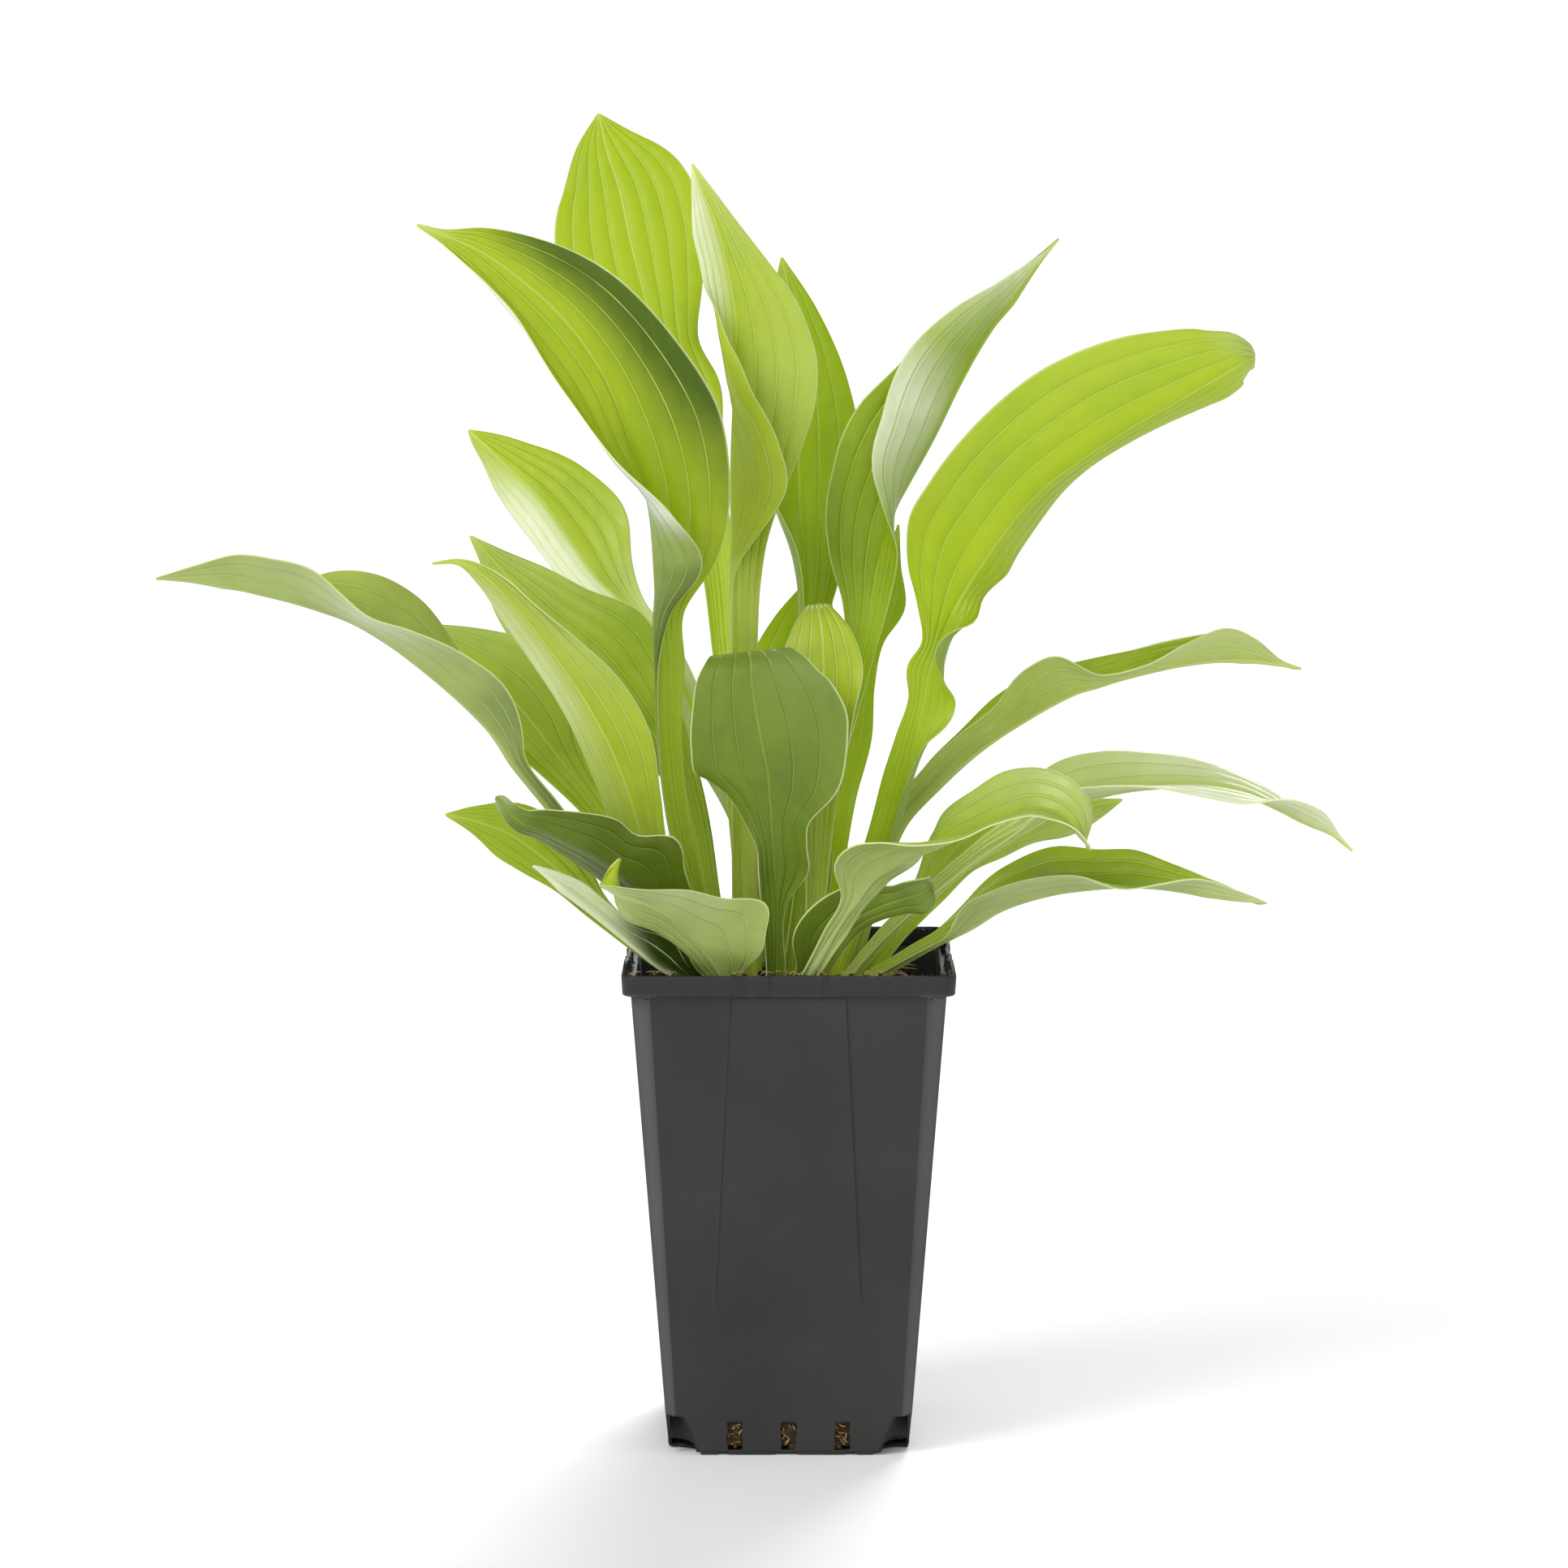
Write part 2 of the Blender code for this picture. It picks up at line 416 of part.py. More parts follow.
def leaned(rows, lean):
    """Slide each station back along its line from LEAN_FROM, by the lean times its share of the length
    to the power 1.6, and widen it as much as the line spreads."""
    rows = np.array(rows, float)
    along = np.concatenate([[0.0], np.cumsum(np.linalg.norm(np.diff(rows[:, :3], axis=0), axis=1))])
    back = lean * (along / along[-1]) ** 1.6
    grow = back / (rows[:, 1] - LEAN_FROM[1])
    rows[:, :3] += grow[:, None] * (rows[:, :3] - LEAN_FROM)
    rows[:, [3, 6]] *= 1.0 + grow[:, None]
    return rows


def leaf_surface(rows, sections, cells):
    """Grid of points of one leaf, and each point's share of the way from rib to margin and of the length.

    The rib is a smooth curve through the stations. A frame is carried up it without twist, starting
    with its face to the front. Each half blade leaves the rib across that frame and its direction
    turns with the square of the way out, so its real width is kept however far it rolls.
    """
    rows = np.asarray(rows, float)
    rib = rows[:, :3]
    knots = np.concatenate([[0.0], np.cumsum(np.linalg.norm(np.diff(rib, axis=0), axis=1))])
    at = np.linspace(0.0, knots[-1], sections)
    line = hermite(knots, rows, at)
    rib = line[:, :3]
    tangent = np.gradient(rib, axis=0)
    tangent /= np.linalg.norm(tangent, axis=1)[:, None]
    face = np.array([0.0, -1.0, 0.0])
    across, out = [], []
    for t in tangent:
        face = face - face.dot(t) * t
        face /= np.linalg.norm(face)
        out.append(face)
        across.append(np.cross(t, face))
    across, out = np.array(across), np.array(out)
    way = np.linspace(0.0, 1.0, cells + 1)
    middle = (way[1:] + way[:-1]) / 2
    halves = []
    for side, first in ((-1.0, 3), (1.0, 6)):
        width = np.maximum(line[:, first], 0.3)[:, None]
        inner, outer = np.radians(line[:, first + 1])[:, None], np.radians(line[:, first + 2])[:, None]
        turn = inner + (outer - inner) * middle ** 2
        dx = np.cumsum(np.cos(turn) * width / cells, axis=1) * side
        dy = np.cumsum(np.sin(turn) * width / cells, axis=1)
        halves.append(rib[:, None] + dx[..., None] * across[:, None] + dy[..., None] * out[:, None])
    grid = np.concatenate([halves[0][:, ::-1], rib[:, None], halves[1]], axis=1)
    return grid, np.concatenate([-way[:0:-1], way]), at / knots[-1]


# Scene and materials
def clear_scene():
    for old in list(bpy.data.objects):
        bpy.data.objects.remove(old, do_unlink=True)


def collection(name):
    made = bpy.data.collections.new(name)
    bpy.context.scene.collection.children.link(made)
    return made


def material(name, colour, roughness):
    """Principled material with one colour."""
    made = bpy.data.materials.new(name)
    made.use_nodes = True
    made.diffuse_color = (*colour, 1.0)
    shader = made.node_tree.nodes["Principled BSDF"]
    shader.inputs["Base Color"].default_value = (*colour, 1.0)
    shader.inputs["Roughness"].default_value = roughness
    shader.inputs["Metallic"].default_value = 0.0
    return made


def add_object(name, points, faces, parts, finish=None):
    """Mesh object from points in millimetres."""
    mesh = bpy.data.meshes.new(name)
    mesh.from_pydata((np.asarray(points, float) * MM).tolist(), [], faces)
    made = bpy.data.objects.new(name, mesh)
    parts.objects.link(made)
    if finish:
        mesh.materials.append(finish)
    return made


def add_box(name, low, high, cutters):
    """Cutter block between two corners in millimetres."""
    low, high = np.asarray(low, float) * MM, np.asarray(high, float) * MM
    bpy.ops.mesh.primitive_cube_add(size=1.0)
    made = bpy.context.object
    made.name = name
    made.data.transform(Matrix.Diagonal((*(high - low), 1.0)))
    made.location = (low + high) / 2
    return hide(made, cutters)


def hide(cutter, cutters):
    """Keep a cutter out of the model."""
    for home in list(cutter.users_collection):
        home.objects.unlink(cutter)
    cutters.objects.link(cutter)
    cutter.hide_render = True
    cutter.display_type = "WIRE"
    return cutter


def cut(piece, cutter):
    bite = piece.modifiers.new("cut_" + cutter.name, "BOOLEAN")
    bite.operation = "DIFFERENCE"
    bite.solver = "EXACT"
    bite.object = cutter


# Pot
CORNER_POINTS = 4


def outline(half, corner, bulge, z):
    """Square ring with its corners taken off by `corner`; bulge 0 is a straight chamfer, 1 an arc."""
    ring = []
    for quarter in range(4):
        turn = math.radians(90 * quarter)
        for k in range(CORNER_POINTS):
            share = k / (CORNER_POINTS - 1)
            straight = np.array([half - corner * share, half - corner * (1 - share)])
            angle = math.radians(90 * share)
            inner = half - corner
            arc = np.array([inner + corner * math.cos(angle), inner + corner * math.sin(angle)])
            x, y = straight + bulge * (arc - straight)
            ring.append((x * math.cos(turn) - y * math.sin(turn), x * math.sin(turn) + y * math.cos(turn), z))
    return ring


def loft(rings, close_top):
    """Points and faces of a skin over rings of equal count, closed at the bottom."""
    count = len(rings[0])
    points = [p for ring in rings for p in ring]
    faces = [list(range(count))[::-1]]
    for level in range(len(rings) - 1):
        low, high = level * count, (level + 1) * count
        for k in range(count):
            after = (k + 1) % count
            faces.append([low + k, low + after, high + after, high + k])
    if close_top:
        faces.append([(len(rings) - 1) * count + k for k in range(count)])
    return points, faces


def body_half(z):
    """Half width of the tapered body at a height."""
    return FOOT_HALF + (NECK_HALF - FOOT_HALF) * z / (POT_HEIGHT - COLLAR_HEIGHT)


def make_pot(parts, cutters):
    """Thin moulded shell with a stepped collar, set-back bottom corners and three slots in each side."""
    shelf = POT_HEIGHT - COLLAR_HEIGHT
    rings = [
        outline(FOOT_HALF, 12.0, 0.0, 0.0),
        outline(body_half(NOTCH_HEIGHT), 9.5, 0.0, NOTCH_HEIGHT),
        outline(body_half(NOTCH_HEIGHT) + 0.1, 4.6, 0.1, NOTCH_HEIGHT + 0.6),
        outline(NECK_HALF, 6.0, 0.1, shelf),
        outline(RIM_HALF - 0.8, 5.0, 1.0, shelf + 0.4),
        outline(RIM_HALF, 5.0, 1.0, POT_HEIGHT),
    ]
    pot = add_object("pot", *loft(rings, False), parts, material("pot_plastic", (0.055, 0.055, 0.055), 0.5))
    wall = pot.modifiers.new("wall", "SOLIDIFY")
    wall.thickness = WALL * MM
    wall.offset = -1.0
    wall.use_even_offset = True
    for axis in (0, 1):
        for place in (-1, 0, 1):
            low = np.array([-FOOT_HALF - 9.0, place * SLOT_SPACING - SLOT_WIDTH / 2, SLOT_LOW])
            high = np.array([FOOT_HALF + 9.0, place * SLOT_SPACING + SLOT_WIDTH / 2, SLOT_HIGH])
            if axis:
                low, high = low[[1, 0, 2]], high[[1, 0, 2]]
            cut(pot, add_box("slot_%d_%d" % (axis, place + 1), low, high, cutters))
    return pot


def crown_sphere(name, grow):
    """Flattened ball of the crown, `grow` millimetres larger all round."""
    bpy.ops.mesh.primitive_uv_sphere_add(segments=20, ring_count=12, radius=1.0)
    ball = bpy.context.object
    ball.name = name
    ball.data.transform(Matrix.Diagonal((*[(half + grow) * MM for half in CROWN_HALF], 1.0)))
    ball.location = (CROWN_CENTRE[0] * MM, CROWN_CENTRE[1] * MM, (COMPOST_TOP + CROWN_HALF[2] * 0.35) * MM)
    return ball


def make_compost(parts, cutters):
    """Block of compost that fills the pot, hollowed where the crown sits."""
    inset = WALL + GAP + 0.1
    floor = WALL + GAP
    step = NOTCH_HEIGHT + 0.6 + WALL + GAP
    rings = [
        outline(FOOT_HALF - inset - FOOT_SLACK, 14.0, 0.0, floor),
        outline(body_half(step) - inset - FOOT_SLACK, 14.0, 0.0, step),
        outline(body_half(step) - inset, 6.0, 0.0, step + 2.0),
        outline(body_half(COMPOST_TOP) - inset, 6.6, 0.0, COMPOST_TOP),
    ]
    compost = add_object("compost", *loft(rings, True), parts, material("compost", (0.06, 0.035, 0.02), 0.95))
    cut(compost, hide(crown_sphere("crown_hollow", GAP), cutters))
    return compost


def make_crown(parts, cutters, above):
    """The short clump of stem that every leaf grows from, level with the compost."""
    crown = crown_sphere("crown", 0.0)
    for home in list(crown.users_collection):
        home.objects.unlink(crown)
    parts.objects.link(crown)
    crown.data.materials.append(material("crown", (0.30, 0.34, 0.12), 0.7))
    cut(crown, above)
    return crown


# Leaves
def leaf_thickness(way, length_share, rows):
    """Share of the petiole's full thickness: thick at the rib of the petiole, thin over the blade."""
    widths = rows[:, 3] + rows[:, 6]
    knots = np.concatenate([[0.0], np.cumsum(np.linalg.norm(np.diff(rows[:, :3], axis=0), axis=1))])
    wide = np.interp(length_share, knots / knots[-1], widths)
    rib = np.interp(wide, (9.0, 24.0), (PETIOLE_THICK, RIB_THICK))
    rib = np.minimum(rib, np.interp(length_share, (0.85, 1.0), (PETIOLE_THICK, BLADE_THICK)))
    lift = (1.0 - np.abs(way)) ** 2
    return (BLADE_THICK + (rib[:, None] - BLADE_THICK) * lift[None, :]) / PETIOLE_THICK


def make_leaf(name, leaf, parts, finish, below):
    """One leaf: a lofted skin, thickened away from its upper face and trimmed level at the crown."""
    rows = leaned(leaf["rows"], leaf["lean"])
    foot = rows[0].copy()
    run = rows[1, :3] - rows[0, :3]
    foot[:3] -= run / run[2] * (BURIED + rows[0, 2] - COMPOST_TOP)
    rows = np.vstack([foot, rows])
    length = np.linalg.norm(np.diff(rows[:, :3], axis=0), axis=1).sum()
    sections = max(8, int(round(length / SECTION_STEP)))
    grid, way, length_share = leaf_surface(rows, sections, CELLS_ACROSS_HALF)
    across = len(way)
    faces = []
    for i in range(sections - 1):
        for j in range(across - 1):
            a = i * across + j
            face = [a, a + 1, a + across + 1, a + across]
            faces.append(face if leaf["upper"] > 0 else face[::-1])
    made = add_object(name, grid.reshape(-1, 3), faces, parts, finish)
    weights = made.vertex_groups.new(name="thickness")
    for index, share in enumerate(leaf_thickness(way, length_share, rows).reshape(-1)):
        weights.add([index], float(share), "REPLACE")
    skin = made.modifiers.new("thickness", "SOLIDIFY")
    skin.thickness = PETIOLE_THICK * MM
    skin.offset = -1.0
    skin.vertex_group = "thickness"
    made.data.shade_smooth()
    cut(made, below)
    return made


def main():
    clear_scene()
    parts = collection("potted_hosta")
    cutters = collection("cutters")
    reach = 400.0
    top = COMPOST_TOP + reach
    above = add_box("above_crown", (-reach, -reach, COMPOST_TOP), (reach, reach, top), cutters)
    below = add_box("below_leaves", (-reach, -reach, 0.0), (reach, reach, COMPOST_TOP + GAP), cutters)
    make_pot(parts, cutters)
    make_compost(parts, cutters)
    make_crown(parts, cutters, above)
    finish = material("leaf", (0.20, 0.38, 0.03), 0.4)
    for name, leaf in LEAVES.items():
        make_leaf(name, leaf, parts, finish, below)


main()
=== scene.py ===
"""Potted hosta plant in a square nursery pot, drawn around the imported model. Lengths are millimetres until a
mesh is made of them. The studio, the heights of bumps and the scales of noise are in metres."""
import math

import bmesh
import bpy
import numpy as np
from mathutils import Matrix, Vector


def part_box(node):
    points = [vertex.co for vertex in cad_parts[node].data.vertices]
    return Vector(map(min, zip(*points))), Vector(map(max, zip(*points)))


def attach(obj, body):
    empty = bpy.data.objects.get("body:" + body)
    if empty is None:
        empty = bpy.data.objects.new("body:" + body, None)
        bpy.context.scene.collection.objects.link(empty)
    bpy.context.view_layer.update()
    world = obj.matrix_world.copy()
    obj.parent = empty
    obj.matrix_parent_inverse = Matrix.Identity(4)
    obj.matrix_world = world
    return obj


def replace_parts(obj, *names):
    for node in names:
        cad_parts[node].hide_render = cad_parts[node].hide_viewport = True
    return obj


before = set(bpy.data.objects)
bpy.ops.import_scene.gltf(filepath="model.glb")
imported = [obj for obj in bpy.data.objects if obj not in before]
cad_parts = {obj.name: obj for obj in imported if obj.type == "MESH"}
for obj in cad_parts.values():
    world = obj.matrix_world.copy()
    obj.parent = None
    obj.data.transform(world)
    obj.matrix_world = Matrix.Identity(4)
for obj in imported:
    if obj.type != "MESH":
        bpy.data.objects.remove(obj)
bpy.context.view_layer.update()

MM = 0.001

# --- Studio: a near-white floor and four soft lamps. The key comes from the upper left, a broad one from the
# front and a weak one from the right, and the strongest stands behind and shines through the leaves.
EYE = (-0.0015, -1.675, 0.416)
EYE_TILT = 82.99
LENS, SENSOR = 121.12, 36.0
LAMPS = (("key", (0.85, 0.65, -0.8), 30.0, 1.78), ("front", (0.1, 1.0, -0.3), 60.0, 1.10),
         ("side", (-1.0, 0.35, -0.35), 50.0, 0.5), ("rear", (-0.25, -1.0, -0.75), 30.0, 2.3))
WORLD_LIGHT = 0.36
FLOOR_REACH = 20.0
FLOOR_TONE = (0.93, 0.93, 0.93, 1.0)


def in_scene(name, data):
    """New object that shows the data."""
    made = bpy.data.objects.new(name, data)
    bpy.context.scene.collection.objects.link(made)
    return made


def sun_light(name, way, softness, strength):
    """Sun whose light travels along `way`, from a round source `softness` degrees across."""
    data = bpy.data.lights.new(name, "SUN")
    data.angle = math.radians(softness)
    data.energy = strength
    x, y, z = np.array(way) / np.linalg.norm(way)
    in_scene(name, data).rotation_euler = (math.acos(-z), 0.0, math.atan2(-x, y))


camera = in_scene("camera", bpy.data.cameras.new("camera"))
camera.location = EYE
camera.rotation_euler = (math.radians(EYE_TILT), 0.0, 0.0)
camera.data.lens = LENS
camera.data.sensor_width = SENSOR
bpy.context.scene.camera = camera
bpy.context.scene.view_settings.view_transform = "Standard"

for lamp_values in LAMPS:
    sun_light(*lamp_values)

# The world is plain white where the camera sees it and dimmer as a light
world = bpy.data.worlds.new("studio")
bpy.context.scene.world = world
world.use_nodes = True
backdrop = world.node_tree.nodes["Background"]
backdrop.inputs["Color"].default_value = (1.0, 1.0, 1.0, 1.0)
seen = world.node_tree.nodes.new("ShaderNodeMapRange")
seen.inputs["To Min"].default_value = WORLD_LIGHT
rays = world.node_tree.nodes.new("ShaderNodeLightPath")
world.node_tree.links.new(rays.outputs["Is Camera Ray"], seen.inputs["Value"])
world.node_tree.links.new(seen.outputs["Result"], backdrop.inputs["Strength"])

floor_mesh = bpy.data.meshes.new("floor")
floor_corners = [(x * FLOOR_REACH, y * FLOOR_REACH, 0.0) for x, y in ((-1, -1), (1, -1), (1, 1), (-1, 1))]
floor_mesh.from_pydata(floor_corners, [], [(0, 1, 2, 3)])
floor_finish = bpy.data.materials.new("floor")
floor_finish.use_nodes = True
floor_shader = floor_finish.node_tree.nodes["Principled BSDF"]
floor_shader.inputs["Base Color"].default_value = FLOOR_TONE
floor_shader.inputs["Roughness"].default_value = 0.9
floor_mesh.materials.append(floor_finish)
in_scene("floor", floor_mesh)


# --- Pot: one thin shell of black recycled plastic, moulded in one shot with chamfered corners, a raised
# panel on each side and a stepped collar for a rim. Its drain slots and set-back corners are open.
POT_HIGH = np.array(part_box("pot")[1]) / MM
RIM_HALF = POT_HIGH[0]
SHELF_Z = POT_HIGH[2] - 7.0  # the foot of the collar
NECK_HALF = 49.5  # half the width of the body under the collar
NECK_FLAT = 43.5  # the same without the chamfers
FOOT_HALF = 38.2
WALL = 1.0
NOTCH_Z = 12.6  # the corners are set back below this height
POCKET_Z = 3.7  # and open below this one
SLOT_PLACES = (-17.0, 0.0, 17.0)
SLOT_HALF = 2.35
SLOT_LOW, SLOT_HIGH = 1.6, 10.7
PANEL_PROUD = 0.5
PANEL_HALF = 18.0  # at the foot of the collar, PANEL_SPREAD more for each PANEL_DROP below it
PANEL_SPREAD, PANEL_DROP = 5.0, 99.0
PANEL_FOOT, PANEL_FADE = 42.0, 10.0  # where it begins, and over what height it comes up
DENT_Y, DENT_Z, DENT_DEPTH = 6.0, 37.0, 0.7
# Height over the shelf, distance out from the rim's half width, corner cut and bulge, up the collar
COLLAR = ((0.0, -2.6, 4.3, 0.3), (0.15, -1.4, 4.6, 0.7), (0.25, -0.7, 5.0, 1.0), (0.7, -0.35, 5.0, 1.0),
          (2.0, -0.3, 5.0, 1.0), (4.0, -0.15, 5.0, 1.0), (6.0, -0.05, 5.0, 1.0), (6.6, -0.1, 5.0, 1.0),
          (6.9, -0.3, 5.0, 1.0), (7.0, -0.6, 5.0, 1.0))
# Across the middle of a collar face, how far it stands out: a dished grip with two soft lobes
GRIP_PLACES = (-18.0, -13.0, -10.5, -6.6, -5.6, 0.0, 9.0, 10.2, 12.8, 16.0)
GRIP_DEPTHS = (0.0, -1.0, -0.4, -0.1, -0.8, -0.6, -0.8, -0.1, -0.7, 0.0)
QUARTERS = ((1, 0), (0, 1), (-1, 0), (0, -1))  # cosine and sine of each quarter turn
RIB_PLACES = (-5.5, -2.1, 1.2, 4.7)
LUG_PLACES = (34.0, 37.5, 41.0, 44.5)
FEET = ((-25.2, 5.6), (-11.8, 15.3), (10.5, 15.7), (24.2, 5.5))  # place and width
BOTH = (-1, 1)


class Value:
    """A socket of a shader tree. Sums and products of it add Math nodes."""

    def __init__(self, finish, socket):
        self.finish, self.socket = finish, socket

    def math(self, operation, *others):
        return self.finish.node("ShaderNodeMath", {"operation": operation}, dict(enumerate((self, *others))))

    def __add__(self, other):
        return self.math("ADD", other)

    def __sub__(self, other):
        return self.math("SUBTRACT", other)

    def __rsub__(self, other):
        return self.finish.node("ShaderNodeMath", {"operation": "SUBTRACT"}, {0: other, 1: self})

    def __mul__(self, other):
        return self.math("MULTIPLY", other)

    def __truediv__(self, other):
        return self.math("DIVIDE", other)

    __radd__, __rmul__ = __add__, __mul__

    def fade(self, low, high):
        """0 below low, 1 above high and smooth between; with low above high it falls."""
        return self.finish.node("ShaderNodeMapRange", {"interpolation_type": "SMOOTHSTEP"},
                                {"Value": self, "From Min": low, "From Max": high})


class Finish:
    """A material whose nodes are added one at a time."""

    def __init__(self, name, roughness, **settings):
        self.material = bpy.data.materials.new(name)
        self.material.use_nodes = True
        self.tree = self.material.node_tree
        self.shader = self.tree.nodes["Principled BSDF"]
        self.set("Roughness", roughness)
        for socket, value in settings.items():
            self.set(socket.replace("_", " "), value)

    def put(self, socket, value):
        """Give a socket a link, a colour or a number."""
        if isinstance(value, Value):
            self.tree.links.new(value.socket, socket)
        elif isinstance(value, tuple) and len(value) == 3 and socket.type == "RGBA":
            socket.default_value = (*value, 1.0)
        else:
            socket.default_value = value

    def set(self, socket, value):
        self.put(self.shader.inputs[socket], value)

    def node(self, kind, settings=None, inputs=None, output=0):
        """Any node: its type, settings, the values or links of its inputs, and the output that is
        used."""
        made = self.tree.nodes.new(kind)
        for key, value in (settings or {}).items():
            setattr(made, key, value)
        for key, value in (inputs or {}).items():
            self.put(made.inputs[key], value)
        return Value(self, made.outputs[output])

    def mix(self, share, first, second):
        """Colour that goes from first to second as share goes from 0 to 1."""
        return self.node("ShaderNodeMix", {"data_type": "RGBA"}, {0: share, 6: first, 7: second}, 2)

    def noise(self, vector, scale, detail=3.0, roughness=0.5):
        return self.node("ShaderNodeTexNoise", {}, {"Vector": vector, "Scale": scale, "Detail": detail,
                                                     "Roughness": roughness})

    def stretched(self, vector, scale):
        """The vector with each axis multiplied by its own number."""
        return self.node("ShaderNodeMapping", {}, {"Vector": vector, "Scale": scale})

    def axes(self, vector):
        """The three numbers of a vector."""
        split = self.node("ShaderNodeSeparateXYZ", {}, {0: vector}).socket.node
        return [Value(self, output) for output in split.outputs]

    def bump(self, height, distance, strength=1.0):
        self.set("Normal", self.node("ShaderNodeBump", {}, {"Height": height, "Distance": distance,
                                                             "Strength": strength}))

    def glow_through(self, share, colour):
        """Let light from behind through: share of the surface is a Translucent shader of one colour."""
        out = self.tree.nodes["Material Output"].inputs["Surface"]
        through = self.node("ShaderNodeBsdfTranslucent", {}, {"Color": colour})
        surface = Value(self, self.shader.outputs[0])
        whole = self.node("ShaderNodeMixShader", {}, {0: share, 1: surface, 2: through})
        self.tree.links.new(whole.socket, out)


def skin(rows, columns, count=1):
    """Quads of a number of equal grids, in each of which the last column joins the first."""
    index = np.arange(count * rows * columns).reshape(count, rows, columns)
    index = np.concatenate([index, index[..., :1]], axis=2)
    corners = index[:, :-1, :-1], index[:, :-1, 1:], index[:, 1:, 1:], index[:, 1:, :-1]
    return np.stack(corners, axis=-1).reshape(-1, 4)


def add_piece(name, slot, finish, points, faces=None, outward=True):
    """Mesh object from points in mm, in one grid unless the faces are given. Its doubles are merged and
    its faces turned outwards, and it is smooth with sharp creases."""
    faces = skin(*points.shape[:2]) if faces is None else faces
    mesh = bpy.data.meshes.new(name)
    mesh.from_pydata((np.reshape(points, (-1, 3)) * MM).tolist(), [], faces.tolist())
    work = bmesh.new()
    work.from_mesh(mesh)
    bmesh.ops.remove_doubles(work, verts=work.verts, dist=0.000004)
    if outward:
        bmesh.ops.recalc_face_normals(work, faces=work.faces)
    work.to_mesh(mesh)
    work.free()
    mesh.shade_smooth()
    mesh.set_sharp_from_angle(angle=math.radians(35))
    mesh.materials.append(finish)
    piece = in_scene(name, mesh)
    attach(piece, "root")
    return piece


def body_half(z):
    """Half width of the tapered body at a height."""
    return FOOT_HALF + (NECK_HALF - FOOT_HALF) * z / SHELF_Z


def square_rings(half, corner, bulge, across, share):
    """Quarter rings of a square, one for each level's half width, corner cut and bulge (-1 dished, 0
    straight, 1 round). A side's points lie at `across` mm, drawn in towards short sides by the share of
    the way out to the power 1.6. A corner's points run by `share` along its chord, moved towards its arc
    by the bulge."""
    half, corner, bulge = (np.asarray(v, float)[:, None] for v in (half, corner, bulge))
    pull = (half - corner) / NECK_FLAT - 1.0
    side_y = across * (1.0 + pull * (np.abs(across) / NECK_FLAT) ** 1.6)
    side_x = np.broadcast_to(half, side_y.shape)
    angle = share * np.pi / 2
    chord = half - corner * share, half - corner * (1 - share)
    arc = half - corner * (1 - np.cos(angle)), half - corner * (1 - np.sin(angle))
    x = np.hstack([side_x, chord[0] + bulge * (arc[0] - chord[0])])
    y = np.hstack([side_y, chord[1] + bulge * (arc[1] - chord[1])])
    return x, y


def four_sides(x, y, z):
    """The quarter ring repeated at each right angle, as points."""
    turned = [np.stack([x * c - y * s, x * s + y * c, z], axis=-1) for c, s in QUARTERS]
    return np.concatenate(turned, axis=1)


def wall_levels():
    """Heights, half widths, corner cuts and bulges of the shell, from the slots' foot to the lip."""
    foot = np.array([1.0, 1.6, 2.6, 3.7, 5.0, 6.5, 8.0, 9.4, 10.7, 11.7, NOTCH_Z])
    body = np.concatenate([[NOTCH_Z + 0.3], np.linspace(14.5, SHELF_Z - 0.6, 36)])
    levels = [(z, body_half(z), np.interp(z, (0.0, NOTCH_Z), (9.4, 5.3)), -1.0) for z in foot]
    levels += [(z, body_half(z), np.interp(z, (NOTCH_Z, SHELF_Z), (3.2, 6.0)), 0.08) for z in body]
    levels += [(SHELF_Z + up, RIM_HALF + out, corner, bulge) for up, out, corner, bulge in COLLAR]
    return np.array(levels).T


def pressed_side(x, y, level):
    """The sides with their relief: the panel stands proud inside two ridged lines that spread downwards
    (the step and the ridge fall off as a ramp and a bell), a shallow bell of a dent lies low down, and
    the grip dishes the collar."""
    line = PANEL_HALF + PANEL_SPREAD * (SHELF_Z - level) / PANEL_DROP
    present = np.clip((level - PANEL_FOOT) / PANEL_FADE, 0, 1) * (level < SHELF_Z)
    panel = np.clip((line - np.abs(y)) / 0.3, 0, 1) * present
    ridge = np.exp(-((np.abs(y) - line) / 0.4) ** 2) * present
    grip = np.interp(y, GRIP_PLACES, GRIP_DEPTHS) * np.clip((level - SHELF_Z - 0.1) / 0.5, 0, 1)
    dent = -DENT_DEPTH * np.exp(-((y - DENT_Y) / 8.0) ** 2 - ((level - DENT_Z) / 2.6) ** 2)
    return x + PANEL_PROUD * (panel + 0.8 * ridge) + grip + dent


def open_cells(y, level, corner):
    """Which cells are left out: those inside the slots, and those of the corner columns below the
    pockets."""
    mid_z = level.mean(axis=1)
    height = ((mid_z[:-1] + mid_z[1:]) / 2)[:, None]
    after = np.hstack([y[:, 1:], y[:, -1:]])
    centre = ((y + after) / 2)[:-1]
    in_slot = np.min(np.abs(centre[..., None] - np.array(SLOT_PLACES)), axis=-1) < SLOT_HALF
    return in_slot & (height > SLOT_LOW) & (height < SLOT_HIGH) | corner & (height < POCKET_Z)


def thicken(piece, thickness, offset):
    """Give a sheet its thickness in mm, behind its face at an offset of -1 and on both sides at 0."""
    flesh = piece.modifiers.new("wall", "SOLIDIFY")
    flesh.thickness = thickness * MM
    flesh.offset = offset


